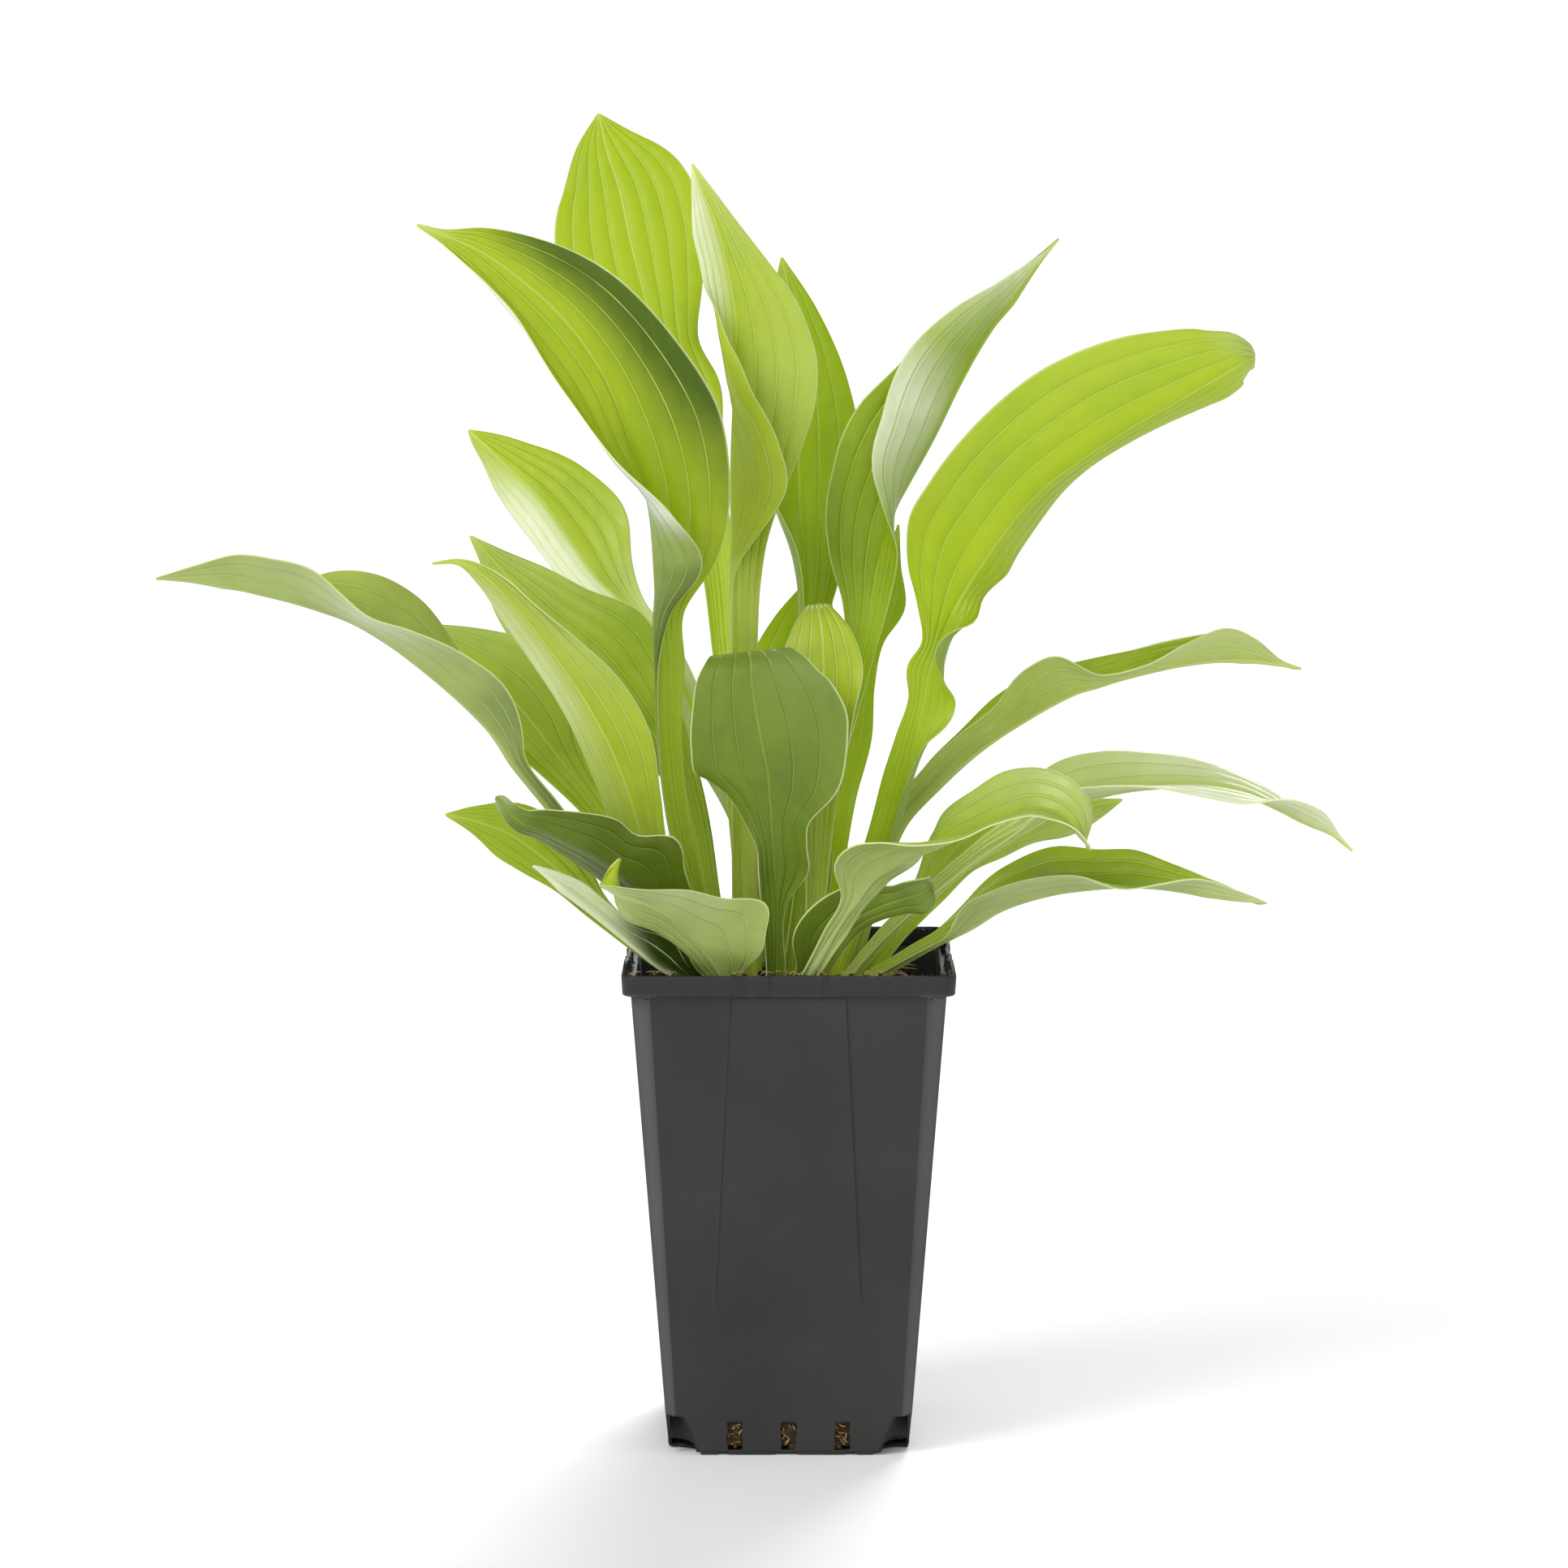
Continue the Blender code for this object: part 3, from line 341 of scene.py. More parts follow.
def make_pot_wall(finish):
    """Shell of one mm with its relief and openings. The edges of the slots and of the torn corners wander
    by a sine."""
    z, half, corner, bulge = wall_levels()
    # Coarse steps on the flanks, and fine ones across the slots and the panel
    flank = np.arange(NECK_FLAT, 25.0, -2.4)
    across = np.concatenate([-flank, np.arange(-24.6, 24.7, 0.6), flank[::-1]])
    x, y = square_rings(half, corner, bulge, across, np.linspace(0.0, 1.0, 9)[1:-1])
    level = np.broadcast_to(z[:, None], y.shape).copy()
    x = pressed_side(x, y, level)
    ragged = (level > SLOT_LOW - 0.5) & (level < NOTCH_Z + 0.5)
    y = y + ragged * 0.12 * np.sin(level * 5.1 + np.round(y) * 2.3) * (np.abs(y) < 22)
    column = np.arange(y.shape[1])[None, :]
    torn = (column >= len(across)) & (np.abs(level - NOTCH_Z - 0.3) < 0.1)
    level = level + torn * 0.5 * np.sin(column * 2.7)
    points = four_sides(x, y, level)
    gone = open_cells(y, level, column >= len(across) - 1)
    faces = skin(*points.shape[:2])[~np.tile(gone, (1, 4)).reshape(-1)]
    wall = add_piece("pot_wall", "pot_plastic", finish, points, faces, outward=False)
    thicken(wall, WALL, -1.0)
    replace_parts(wall, "pot")


def make_pot_floor(finish):
    """Plate inside the foot of the wall, dished up towards the middle by the square of the way in."""
    inward = np.linspace(0.0, 1.0, 7)
    half = (FOOT_HALF - 0.4) * (1 - inward) + 0.001
    corner = 9.8 * (1 - inward)
    across, share = np.linspace(-NECK_FLAT, NECK_FLAT, 15), np.linspace(0, 1, 6)[1:-1]
    x, y = square_rings(half, corner, -np.ones(len(inward)), across, share)
    points = four_sides(x, y, np.broadcast_to((1.0 + 1.2 * inward ** 2)[:, None], x.shape))
    thicken(add_piece("pot_floor", "pot_plastic", finish, points), 0.8, 0.0)


def ball(rings, corners, power=1.0):
    """Points of a ball of radius 1, in rings. Its sines and cosines keep their sign and their size goes
    to the power, so that a power near 0 makes it a cube with rounded edges."""
    up = np.linspace(-np.pi / 2, np.pi / 2, rings)[:, None]
    turn = np.linspace(0, 2 * np.pi, corners, endpoint=False)[None, :]

    def drawn(value):
        return np.sign(value) * np.abs(value) ** power

    return np.stack([drawn(np.cos(up)) * drawn(np.cos(turn)), drawn(np.cos(up)) * drawn(np.sin(turn)),
                     drawn(np.sin(up)) * np.ones_like(turn)], axis=-1)


def rounded_bars(boxes, power):
    """Points and faces of bars with rounded edges, from their centres and sizes."""
    unit = ball(9, 16, power)
    boxes = np.array(boxes, float)[:, None, None]
    return boxes[..., :3] + unit * boxes[..., 3:] / 2, skin(*unit.shape[:2], len(boxes))


def quarter_turns(boxes):
    """The boxes of the front side, as centre and size, repeated on the four sides."""
    turned = []
    for cx, cy, cz, dx, dy, dz in boxes:
        turned += [(cx, cy, cz, dx, dy, dz), (-cy, cx, cz, dy, dx, dz), (-cx, -cy, cz, dx, dy, dz),
                   (cy, -cx, cz, dy, dx, dz)]
    return turned


def pot_plastic():
    """Matt grey-black, with a fine moulding grain and a faint cloudy mottle. The chamfers are lighter and
    browner: painted light on those facets. The collar is darker. The two lines of each panel and the
    pockets at the feet are painted darker as painted shade."""
    f = Finish("pot_plastic", 0.5, Specular_IOR_Level=0.35)
    place = f.node("ShaderNodeTexCoord", output=3)
    grain = f.noise(place, 1500.0, 2.0)
    cloud = f.noise(place, 22.0, 3.0)
    x, y, height = (value / MM for value in f.axes(place))
    x, y = x.math("ABSOLUTE"), y.math("ABSOLUTE")
    # Painted light: the chamfers under the collar are painted lighter and browner, in cloudy patches
    chamfer = (x + y - (height * 0.131 + 73.2)).fade(0.0, 0.6)
    chamfer_light = chamfer * height.fade(SHELF_Z + 1.8, SHELF_Z - 1.2) * (0.5 + cloud * 0.5)
    tone = f.mix((cloud - 0.5) * 1.3 + grain * 0.5 + 0.15, (0.0131, 0.0130, 0.0127), (0.0292, 0.0290, 0.0284))
    tone = f.mix(height.fade(SHELF_Z - 0.4, SHELF_Z + 0.4) * 0.7, tone, (0.0122, 0.0121, 0.0119))
    tone = f.mix(chamfer_light, tone, (0.088, 0.084, 0.078))
    sideways = x.math("MINIMUM", y)
    spread = PANEL_SPREAD / PANEL_DROP
    # Painted shade: the two step lines of each panel are painted near black
    line = sideways + height * spread - (PANEL_HALF + SHELF_Z * spread)
    panel_line_shade = line.math("ABSOLUTE").fade(0.5, 0.15) * height.fade(PANEL_FOOT + 3.0, PANEL_FOOT + 18.0)
    panel_line_shade = panel_line_shade * height.fade(SHELF_Z, SHELF_Z - 0.4)
    tone = f.mix(panel_line_shade * 0.75, tone, (0.005, 0.005, 0.005))
    # Painted shade: the recessed pockets at the feet are painted near black
    pocket_shade = (sideways - height * 0.4).fade(27.5, 28.5) * height.fade(NOTCH_Z + 0.4, NOTCH_Z - 0.2)
    tone = f.mix(pocket_shade, tone, (0.004, 0.004, 0.004))
    f.set("Base Color", tone)
    f.set("Roughness", 0.42 + grain * 0.2 + cloud * 0.1)
    f.bump(grain, 0.00012, 0.6)
    return f.material


plastic = pot_plastic()
make_pot_wall(plastic)
make_pot_floor(plastic)
# As centre and size: ribs, tongue and shoulders under the collar, the feet, the lugs inside it, and the ears
fittings = [(x, -49.3, SHELF_Z - 1.4, 0.45, 1.2, 3.0) for x in RIB_PLACES]
fittings += [(-0.4, -49.1, SHELF_Z - 0.5, 3.2, 1.0, 1.0)]
fittings += [(side * 46.3, -48.4, SHELF_Z - 0.7, 3.2, 1.6, 1.3) for side in BOTH]
fittings += [(x, -37.0, 0.8, width, 2.4, 1.6) for x, width in FEET]
fittings += [(side * x, -RIM_HALF + 1.7, SHELF_Z + 3.2, 0.9, 1.4, 6.0) for x in LUG_PLACES for side in BOTH]
ears = [(side * 38.0, back * 34.6, 8.2, 0.7, 3.6, 9.6) for side in BOTH for back in BOTH]
add_piece("pot_fittings", "pot_plastic", plastic, *rounded_bars(quarter_turns(fittings) + ears, 0.25))


# --- Compost: a peaty block that fills the pot to just under the collar, packed by hand round the roots.
# It is dark, crumbly and full of coir, which shows at the rim and behind the drain slots.
COMPOST_TOP = 148.0
COMPOST_FOOT = 2.6
INNER_GAP = 0.5
TOP_CRUMBS, FRONT_CRUMBS, SLOT_CRUMBS = 520, 120, 16
RIM_SPANS = ((-18, 36, 34), (-50, -34, 26), (40, 50, 16))  # along the front rim: from, to, number of crumbs
RIM_CRUMBS = sum(number for low, high, number in RIM_SPANS)
TOP_FIBRES, RIM_FIBRES = 150, 44
chance = np.random.RandomState(11)


def lumps(x, y, z, size):
    """Soft lumps of about one size: the mean of three products of sines, turned against each other."""
    x, y, z = x / size, y / size, z / size
    return (np.sin(x * 1.9 + y * 0.7) * np.sin(y * 2.3 - z) + np.sin(x * 3.1 - z * 2.2) * np.sin(y * 3.7 + x)
            + np.sin(x * 5.3 + y * 4.1) * np.sin(y * 6.1 + z * 5.0 - x * 2.0)) / 3


def compost_height(x, y):
    """Top of the compost: level round the crown, sunk by 7 mm towards the walls, with lumps."""
    reach = np.maximum(np.abs(x), np.abs(y))
    sink = np.clip((reach - 33.0) / 12.0, 0, 1)
    level = COMPOST_TOP - 1.0 - 7.0 * sink ** 2 * (3 - 2 * sink)
    return level + lumps(x, y, 0 * x, 3.4) * 0.9 + lumps(x, y, 0 * x, 9.0)


def make_compost(finish):
    """Closed block: rings out over its foot, up inside the wall, then in over the top, whose heights are
    those of compost_height. Small lumps push its sides in by up to 0.7 mm."""
    side = np.concatenate([np.linspace(COMPOST_FOOT, 13.0, 16), np.linspace(17.0, 139.0, 34)])
    foot, top = np.linspace(0.001, 1, 6)[:-1], np.linspace(1, 0.001, 46)[1:]
    shares = np.concatenate([foot, np.ones(len(side)), top])[:, None]
    z = np.concatenate([np.full(len(foot), COMPOST_FOOT), side, np.full(len(top), 141.0)])
    half = body_half(z) - WALL - INNER_GAP
    corner = np.where(z < NOTCH_Z + 1.0, 11.5, 5.0)
    across, share = np.linspace(-NECK_FLAT, NECK_FLAT, 40), np.linspace(0, 1, 7)[1:-1]
    x, y = square_rings(half, corner, np.zeros(len(z)), across, share)
    x, y = x * shares, y * shares
    level = np.broadcast_to(z[:, None], x.shape).copy()
    ring = np.arange(len(z))
    on_top = ring >= len(foot) + len(side)
    on_side = (ring >= len(foot)) & ~on_top
    x = x - on_side[:, None] * (0.5 + 0.5 * lumps(x * 3, y * 3, level, 1.1)) * 0.7
    points = four_sides(x, y, level)
    points[on_top, :, 2] = compost_height(points[on_top][..., 0], points[on_top][..., 1])
    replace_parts(add_piece("compost_block", "compost", finish, points), "compost")


def scattered_crumbs(centres, radii):
    """Points and faces of crumbs: small balls of a few rings, each point pushed in or out by chance."""
    rings, corners = 5, 6
    rough = 1 + 0.35 * chance.uniform(-1, 1, (len(centres), rings, corners))
    rough[:, 0], rough[:, -1] = rough[:, :1, 0], rough[:, -1:, 0]
    stretch = chance.uniform(0.6, 1.3, (len(centres), 1, 1, 3))
    pushed = ball(rings, corners) * rough[..., None] * stretch
    points = centres[:, None, None] + pushed * radii[:, None, None, None]
    return points, skin(rings, corners, len(centres))


def scattered_fibres(starts, ways, normals, thickness):
    """Points and faces of fibres: stations along a way, bent sideways by the square of the share and
    lifted by a half sine, each with a ring of 4 points."""
    stations = 7
    share = np.linspace(0, 1, stations)[None, :, None]
    sideways = np.cross(normals, ways)
    bend, lift = chance.uniform(-0.6, 0.6, (2, len(starts), 1, 1))
    spine = (starts[:, None] + ways[:, None] * share + sideways[:, None] * share ** 2 * bend
             + normals[:, None] * np.sin(np.pi * share) * np.abs(lift) * 1.5)
    round_ways = sideways / np.linalg.norm(sideways, axis=1)[:, None]
    thin = thickness[:, None, None] * np.interp(share, (0, 0.2, 0.8, 1), (0.2, 1, 1, 0.2))
    first, second = round_ways[:, None], normals[:, None]
    points = np.stack([spine + thin * (first * c + second * s) for c, s in QUARTERS], axis=2)
    return points, skin(stations, len(QUARTERS), len(starts))


def compost_finish(name, dark, light, scale):
    """Damp peat or coir: two browns in fine noise, rough, with a coarse bump."""
    f = Finish(name, 0.85, Specular_IOR_Level=0.3)
    place = f.node("ShaderNodeTexCoord", output=3)
    patch = f.noise(place, scale, 4.0, 0.6)
    fine = f.noise(place, scale * 6.0, 2.0)
    f.set("Base Color", f.mix((patch + fine - 0.55) * 1.6, dark, light))
    f.set("Roughness", 0.95 - patch * 0.3)
    f.bump(fine, 0.0006)
    return f.material


peat = compost_finish("peat", (0.008, 0.005, 0.003), (0.055, 0.030, 0.014), 300.0)
coir = compost_finish("coir", (0.10, 0.045, 0.015), (0.50, 0.33, 0.13), 120.0)
make_compost(peat)

# Crumbs lie on the compost, more of them at the front, along the rim and behind the drain slots
place = chance.uniform(-44, 44, (TOP_CRUMBS, 2))
place[:FRONT_CRUMBS, 1] = chance.uniform(-45, -36, FRONT_CRUMBS)
on_top = np.column_stack([place, compost_height(place[:, 0], place[:, 1]) + 0.3])
on_rim = np.column_stack([np.concatenate([chance.uniform(*span) for span in RIM_SPANS]),
                          chance.uniform(-50.6, -49.0, RIM_CRUMBS), chance.uniform(155.6, 156.4, RIM_CRUMBS)])
behind = []
for quarter in range(4):
    for slot in SLOT_PLACES:
        spot = np.column_stack([chance.uniform(slot - 2.2, slot + 2.2, SLOT_CRUMBS),
                                np.full(SLOT_CRUMBS, -FOOT_HALF + 1.4),
                                chance.uniform(SLOT_LOW + 0.4, SLOT_HIGH - 0.4, SLOT_CRUMBS)])
        for _ in range(quarter):
            spot = np.column_stack([-spot[:, 1], spot[:, 0], spot[:, 2]])
        behind.append(spot)
behind = np.concatenate(behind)
crumbs = np.vstack([on_top, on_rim, behind])
radii = np.concatenate([chance.uniform(0.5, 1.7, TOP_CRUMBS), chance.uniform(0.2, 0.55, RIM_CRUMBS),
                        chance.uniform(0.4, 1.0, len(behind))])
add_piece("compost_crumbs", "compost", peat, *scattered_crumbs(crumbs, radii))

# Coir lies flat on the compost and the rim, and across the drain slots
top_starts = np.column_stack([chance.uniform(-36, 36, (TOP_FIBRES, 2)), np.zeros(TOP_FIBRES)])
top_starts[:, 2] = compost_height(top_starts[:, 0], top_starts[:, 1]) + 0.8
heading = chance.uniform(0, 2 * np.pi, TOP_FIBRES)
top_ways = np.column_stack([np.cos(heading), np.sin(heading), chance.uniform(-0.1, 0.25, TOP_FIBRES)])
top_ways *= chance.uniform(3, 9, (TOP_FIBRES, 1))
rim_starts = on_rim[:RIM_FIBRES] + [0, 0.4, 0.2]
rim_ways = np.column_stack([chance.uniform(-4, 4, RIM_FIBRES), chance.uniform(-0.5, 1.5, RIM_FIBRES),
                            chance.uniform(0.1, 0.9, RIM_FIBRES)])
heading = chance.uniform(0, 2 * np.pi, len(behind))[:, None]
slot_normals = np.round(behind * [1, 1, 0] / np.linalg.norm(behind[:, :2], axis=1)[:, None])
level_way = np.cross([0, 0, 1], slot_normals)
slot_ways = (level_way * np.cos(heading) + np.array([0, 0, 1]) * np.sin(heading)) * 2.4
starts = np.vstack([top_starts, rim_starts, behind - slot_ways / 2])
ways = np.vstack([top_ways, rim_ways, slot_ways])
normals = np.vstack([np.tile([0, 0, 1.0], (TOP_FIBRES + RIM_FIBRES, 1)), slot_normals])
thickness = np.concatenate([chance.uniform(0.12, 0.32, TOP_FIBRES), chance.uniform(0.08, 0.16, RIM_FIBRES),
                            chance.uniform(0.12, 0.3, len(behind))])
add_piece("compost_coir", "compost", coir, *scattered_fibres(starts, ways, normals, thickness))


# --- Crown: the short, knobbly stock of the plant at the level of the compost, from which every stalk grows.
# It is wrapped in pale, close sheaths, brown and papery where they meet the compost.
CROWN_LOW, CROWN_HIGH = (np.array(corner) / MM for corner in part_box("crown"))
SHEATHS = 17


def make_crown(finish):
    """A low dome: the radius falls as the root of one less the height share squared. An upright ridge for
    each sheath winds round it a little on the way up."""
    up = np.linspace(0.001, 1, 26)[:, None]
    turn = np.linspace(0, 2 * np.pi, 136, endpoint=False)[None, :]
    middle, half = (CROWN_LOW + CROWN_HIGH) / 2, (CROWN_HIGH - CROWN_LOW) / 2
    reach = np.sqrt(1 - np.minimum(up, 0.9999) ** 2)
    ridge = 1 - 0.09 * (1 - np.abs(np.sin(turn * SHEATHS / 2 + up * 1.5))) ** 2
    x = middle[0] + half[0] * 0.97 * reach * ridge * np.cos(turn)
    y = middle[1] + half[1] * 0.97 * reach * ridge * np.sin(turn)
    z = CROWN_LOW[2] + (CROWN_HIGH[2] - CROWN_LOW[2] - 0.3) * up * np.ones_like(turn)
    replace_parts(add_piece("crown_sheaths", "crown", finish, np.stack([x, y, z], axis=-1)), "crown")


def crown_finish():
    """Cream-green sheaths with fine upright ribs, browner and rougher low down."""
    f = Finish("crown_sheath", 0.5)
    place = f.node("ShaderNodeTexCoord", output=3)
    height = f.axes(place)[2] / MM
    ribs = f.noise(f.stretched(place, (900.0, 900.0, 40.0)), 1.0, 3.0)
    low = (height + ribs * 3.0).fade(COMPOST_TOP + 4.5, COMPOST_TOP + 0.5)
    tone = f.mix(ribs, (0.42, 0.52, 0.12), (0.20, 0.32, 0.03))
    f.set("Base Color", f.mix(low, tone, (0.10, 0.06, 0.025)))
    f.set("Roughness", 0.4 + low * 0.4)
    f.bump(ribs, 0.0003)
    return f.material


make_crown(crown_finish())


# --- Leaves: each grew as one piece, a fleshy channelled stalk that spreads into a ribbed blade, and each
# stands in the crown. It is a closed shell on a grid along and across the leaf, thinner towards the margin.
LEAN_FROM = np.array([-1.5, -1675.0, 416.0])  # a leaf leans along the lines from this far point in front
STALK_THICK = 2.6
RIB_THICK = 1.1
BLADE_THICK = 0.45
ROOTED = 4.0  # how far a leaf runs on below the top of the compost
SECTION_STEP = 1.7
STALK_ANGLES = (10, 60)
TIP = (0.4, 0, 0)
# Pale cream of a stalk's foot: a painted glow of light shining through it
FOOT_TONE = (0.80, 0.83, 0.24)
# Painted highlight along a leaf's margin, as rim light
MARGIN_HIGHLIGHT = (0.70, 0.78, 0.36)
LIGHT_THROUGH = (0.62, 0.76, 0.004)
# Each tone: full colour, deep colour, veins, painted shade, painted sheen, and its share of painted sheen in
# patches
TONES = {
    "lime": ((0.46, 0.57, 0.026), (0.20, 0.335, 0.0005), (0.72, 0.79, 0.20), (0.045, 0.09, 0.001),
             (0.80, 0.84, 0.60), 0.10),
    "green": ((0.335, 0.455, 0.020), (0.11, 0.21, 0.0005), (0.54, 0.64, 0.12), (0.03, 0.06, 0.001),
              (0.76, 0.81, 0.60), 0.09),
    "grey": ((0.150, 0.225, 0.018), (0.065, 0.12, 0.002), (0.24, 0.335, 0.055), (0.025, 0.05, 0.002),
             (0.44, 0.52, 0.32), 0.05),
    # The dark tone is a deep green darkened partly as painted shade, for the low leaves under the others
    "dark": ((0.118, 0.180, 0.012), (0.028, 0.055, 0.001), (0.19, 0.275, 0.03), (0.012, 0.022, 0.0005),
             (0.40, 0.48, 0.26), 0.03),
    "olive": ((0.42, 0.51, 0.10), (0.21, 0.31, 0.02), (0.58, 0.66, 0.24), (0.07, 0.12, 0.008),
              (0.80, 0.83, 0.70), 0.20),
    "sage": ((0.35, 0.435, 0.125), (0.18, 0.25, 0.030), (0.46, 0.54, 0.21), (0.05, 0.09, 0.008),
             (0.80, 0.83, 0.74), 0.12),
    "pale": ((0.56, 0.63, 0.32), (0.34, 0.42, 0.14), (0.74, 0.79, 0.54), (0.025, 0.05, 0.002),
             (0.88, 0.90, 0.82), 0.20),
}


def leaf_face(name, tone, sheen, veins, glow, foot):
    """Finish of one face of a leaf. The side share runs from 0 at the rib to 1 at the margin, and the
    main veins lie where it times the number of veins is whole. Each is a thin line of its own colour,
    stronger in some places than in others. The face deepens towards its base and in broad patches, and
    beside the veins as painted shade. It takes a painted sheen in broad patches and a pale margin line of
    painted highlight. On the stalk it runs in fine pale ribs, and it pales to a painted glow at the foot.
    The attribute named by sheen paints a silvery sheen above 0 and a dark shade below."""
    colour, deep, vein, dark, sheen_colour, sheen_share = TONES[tone]
    f = Finish(name, 0.4, Specular_IOR_Level=0.28)
    along, way, _ = f.axes(f.node("ShaderNodeUVMap", {"uv_map": "leaf"}))
    half, stalk, share, sheen_shade = (f.node("ShaderNodeAttribute", {"attribute_name": key}, {}, 2)
                                 for key in ("half_mm", "stalk", "share", sheen))
    side = (way * 2.0 - 1.0).math("ABSOLUTE")
    reach = ((side * veins + 0.5).math("FRACT") - 0.5).math("ABSOLUTE") * half / veins
    place = f.node("ShaderNodeCombineXYZ", {}, {0: along, 1: way * half * 0.02, 2: 0.0})
    patch = f.noise(f.stretched(place, (3.0, 5.0, 1.0)), 1.0, 3.0)
    mottle = f.noise(f.stretched(place, (16.0, 30.0, 1.0)), 1.0, 3.0)
    grain = f.noise(f.stretched(place, (230.0, 90.0, 1.0)), 1.0, 2.0)
    line = reach.fade(0.29, 0.09) * side.fade(0.99, 0.93) * side.fade(0.02, 0.05)
    line = line * (patch.fade(0.30, 0.62) * 0.75 + 0.25)
    rib = (side * half).fade(0.6, 0.3)
    ribs = ((way * 6.0).math("FRACT") - 0.5).math("ABSOLUTE").fade(0.25, 0.48)
    # Deeper towards the base and in broad patches, and beside each vein as painted shade of its groove
    depth = 0.42 - share * 0.45 + (mottle - 0.5) * 0.5 + (patch - 0.5) * 1.3 + reach.fade(1.2, 0.0) * 0.12
    face = f.mix(depth.math("MAXIMUM", 0.0).math("MINIMUM", 1.0), colour, deep)
    # Painted sheen: broad patches of the face turn to the pale sheen colour by the tone's share
    face = f.mix(patch.fade(0.58, 0.80) * sheen_share + (grain - 0.5) * 0.06, face, sheen_colour)
    stem = f.mix(0.55, colour, vein)
    face = f.mix(stalk, face, f.mix((ribs * 0.28 + (mottle - 0.5) * 0.3).math("MAXIMUM", 0.0), stem, deep))
    # Painted glow: the stalk pales towards its foot, as light shining through it
    face = f.mix(share.fade(foot, foot * 0.3) * (stalk * 0.85 + 0.1), face, FOOT_TONE)
    # Painted sheen where the mark is above 0, painted shade where it is below 0
    face = f.mix(sheen_shade.fade(0.0, 1.0) * (0.7 + mottle * 0.6), face, sheen_colour)
    face = f.mix(sheen_shade.fade(0.0, -1.0) * (0.9 + mottle * 0.2), face, dark)
    face = f.mix((line * (0.64 - stalk * 0.64) + rib * 0.6).math("MINIMUM", 0.8), face, vein)
    # Painted highlight: a pale line along the margin, as rim light
    f.set("Base Color", f.mix(side.fade(0.97, 0.995) * 0.75, face, MARGIN_HIGHLIGHT))
    f.set("Roughness", 0.22 + mottle * 0.24)
    relief = grain * 0.25 + mottle * 1.6 + patch * 7.0 - ribs * stalk * 0.9 + reach.fade(0.0, 0.7) * 1.8
    f.bump(relief, 0.00012)
    bare = 1.0 - sheen_shade.math("ABSOLUTE").fade(0.0, 1.0) * 0.6
    f.glow_through((stalk * 0.20 + glow) * bare, LIGHT_THROUGH)
    return f.material


def hermite(knots, values, at):
    """Smooth curve through the stations: cubic Hermite pieces whose slopes weigh the chords on each
    side."""
    step = np.diff(knots)
    chord = np.diff(values, axis=0) / step[:, None]
    slope = np.empty_like(values)
    slope[0], slope[-1] = chord[0], chord[-1]
    weighted = chord[:-1] * step[1:, None] + chord[1:] * step[:-1, None]
    slope[1:-1] = weighted / (step[1:] + step[:-1])[:, None]
    i = np.clip(np.searchsorted(knots, at, side="right") - 1, 0, len(knots) - 2)
    h = step[i][:, None]
    t = ((at - knots[i]) / step[i])[:, None]
    return ((2 * t ** 3 - 3 * t ** 2 + 1) * values[i] + (t ** 3 - 2 * t ** 2 + t) * h * slope[i]
            + (3 * t ** 2 - 2 * t ** 3) * values[i + 1] + (t ** 3 - t ** 2) * h * slope[i + 1])


def lengths(points):
    """Distance along a chain of points, from 0."""
    return np.concatenate([[0.0], np.cumsum(np.linalg.norm(np.diff(points, axis=0), axis=1))])


def full_station(row):
    """A station with both its halves. A bare place is the tip of the leaf, a place and a width are a
    channelled stalk, and one half serves for both."""
    if len(row) == 3:
        row += TIP
    if len(row) == 4:
        row += STALK_ANGLES
    return row if len(row) == 9 else row + row[3:]


def leaf_stations(rows, lean):
    """The given stations in mm, slid back along their lines from LEAN_FROM by the lean times their
    share of the length to the power 1.6, with one more below them in the compost."""
    rows = np.array([full_station(row) for row in rows], float)
    along = lengths(rows[:, :3])
    grow = lean * (along / along[-1]) ** 1.6 / (rows[:, 1] - LEAN_FROM[1])
    rows[:, :3] += grow[:, None] * (rows[:, :3] - LEAN_FROM)
    rows[:, [3, 6]] *= 1.0 + grow[:, None]
    foot = rows[0].copy()
    run = rows[1, :3] - rows[0, :3]
    foot[:3] -= run / run[2] * (ROOTED + rows[0, 2] - COMPOST_TOP)
    return np.vstack([foot, rows])


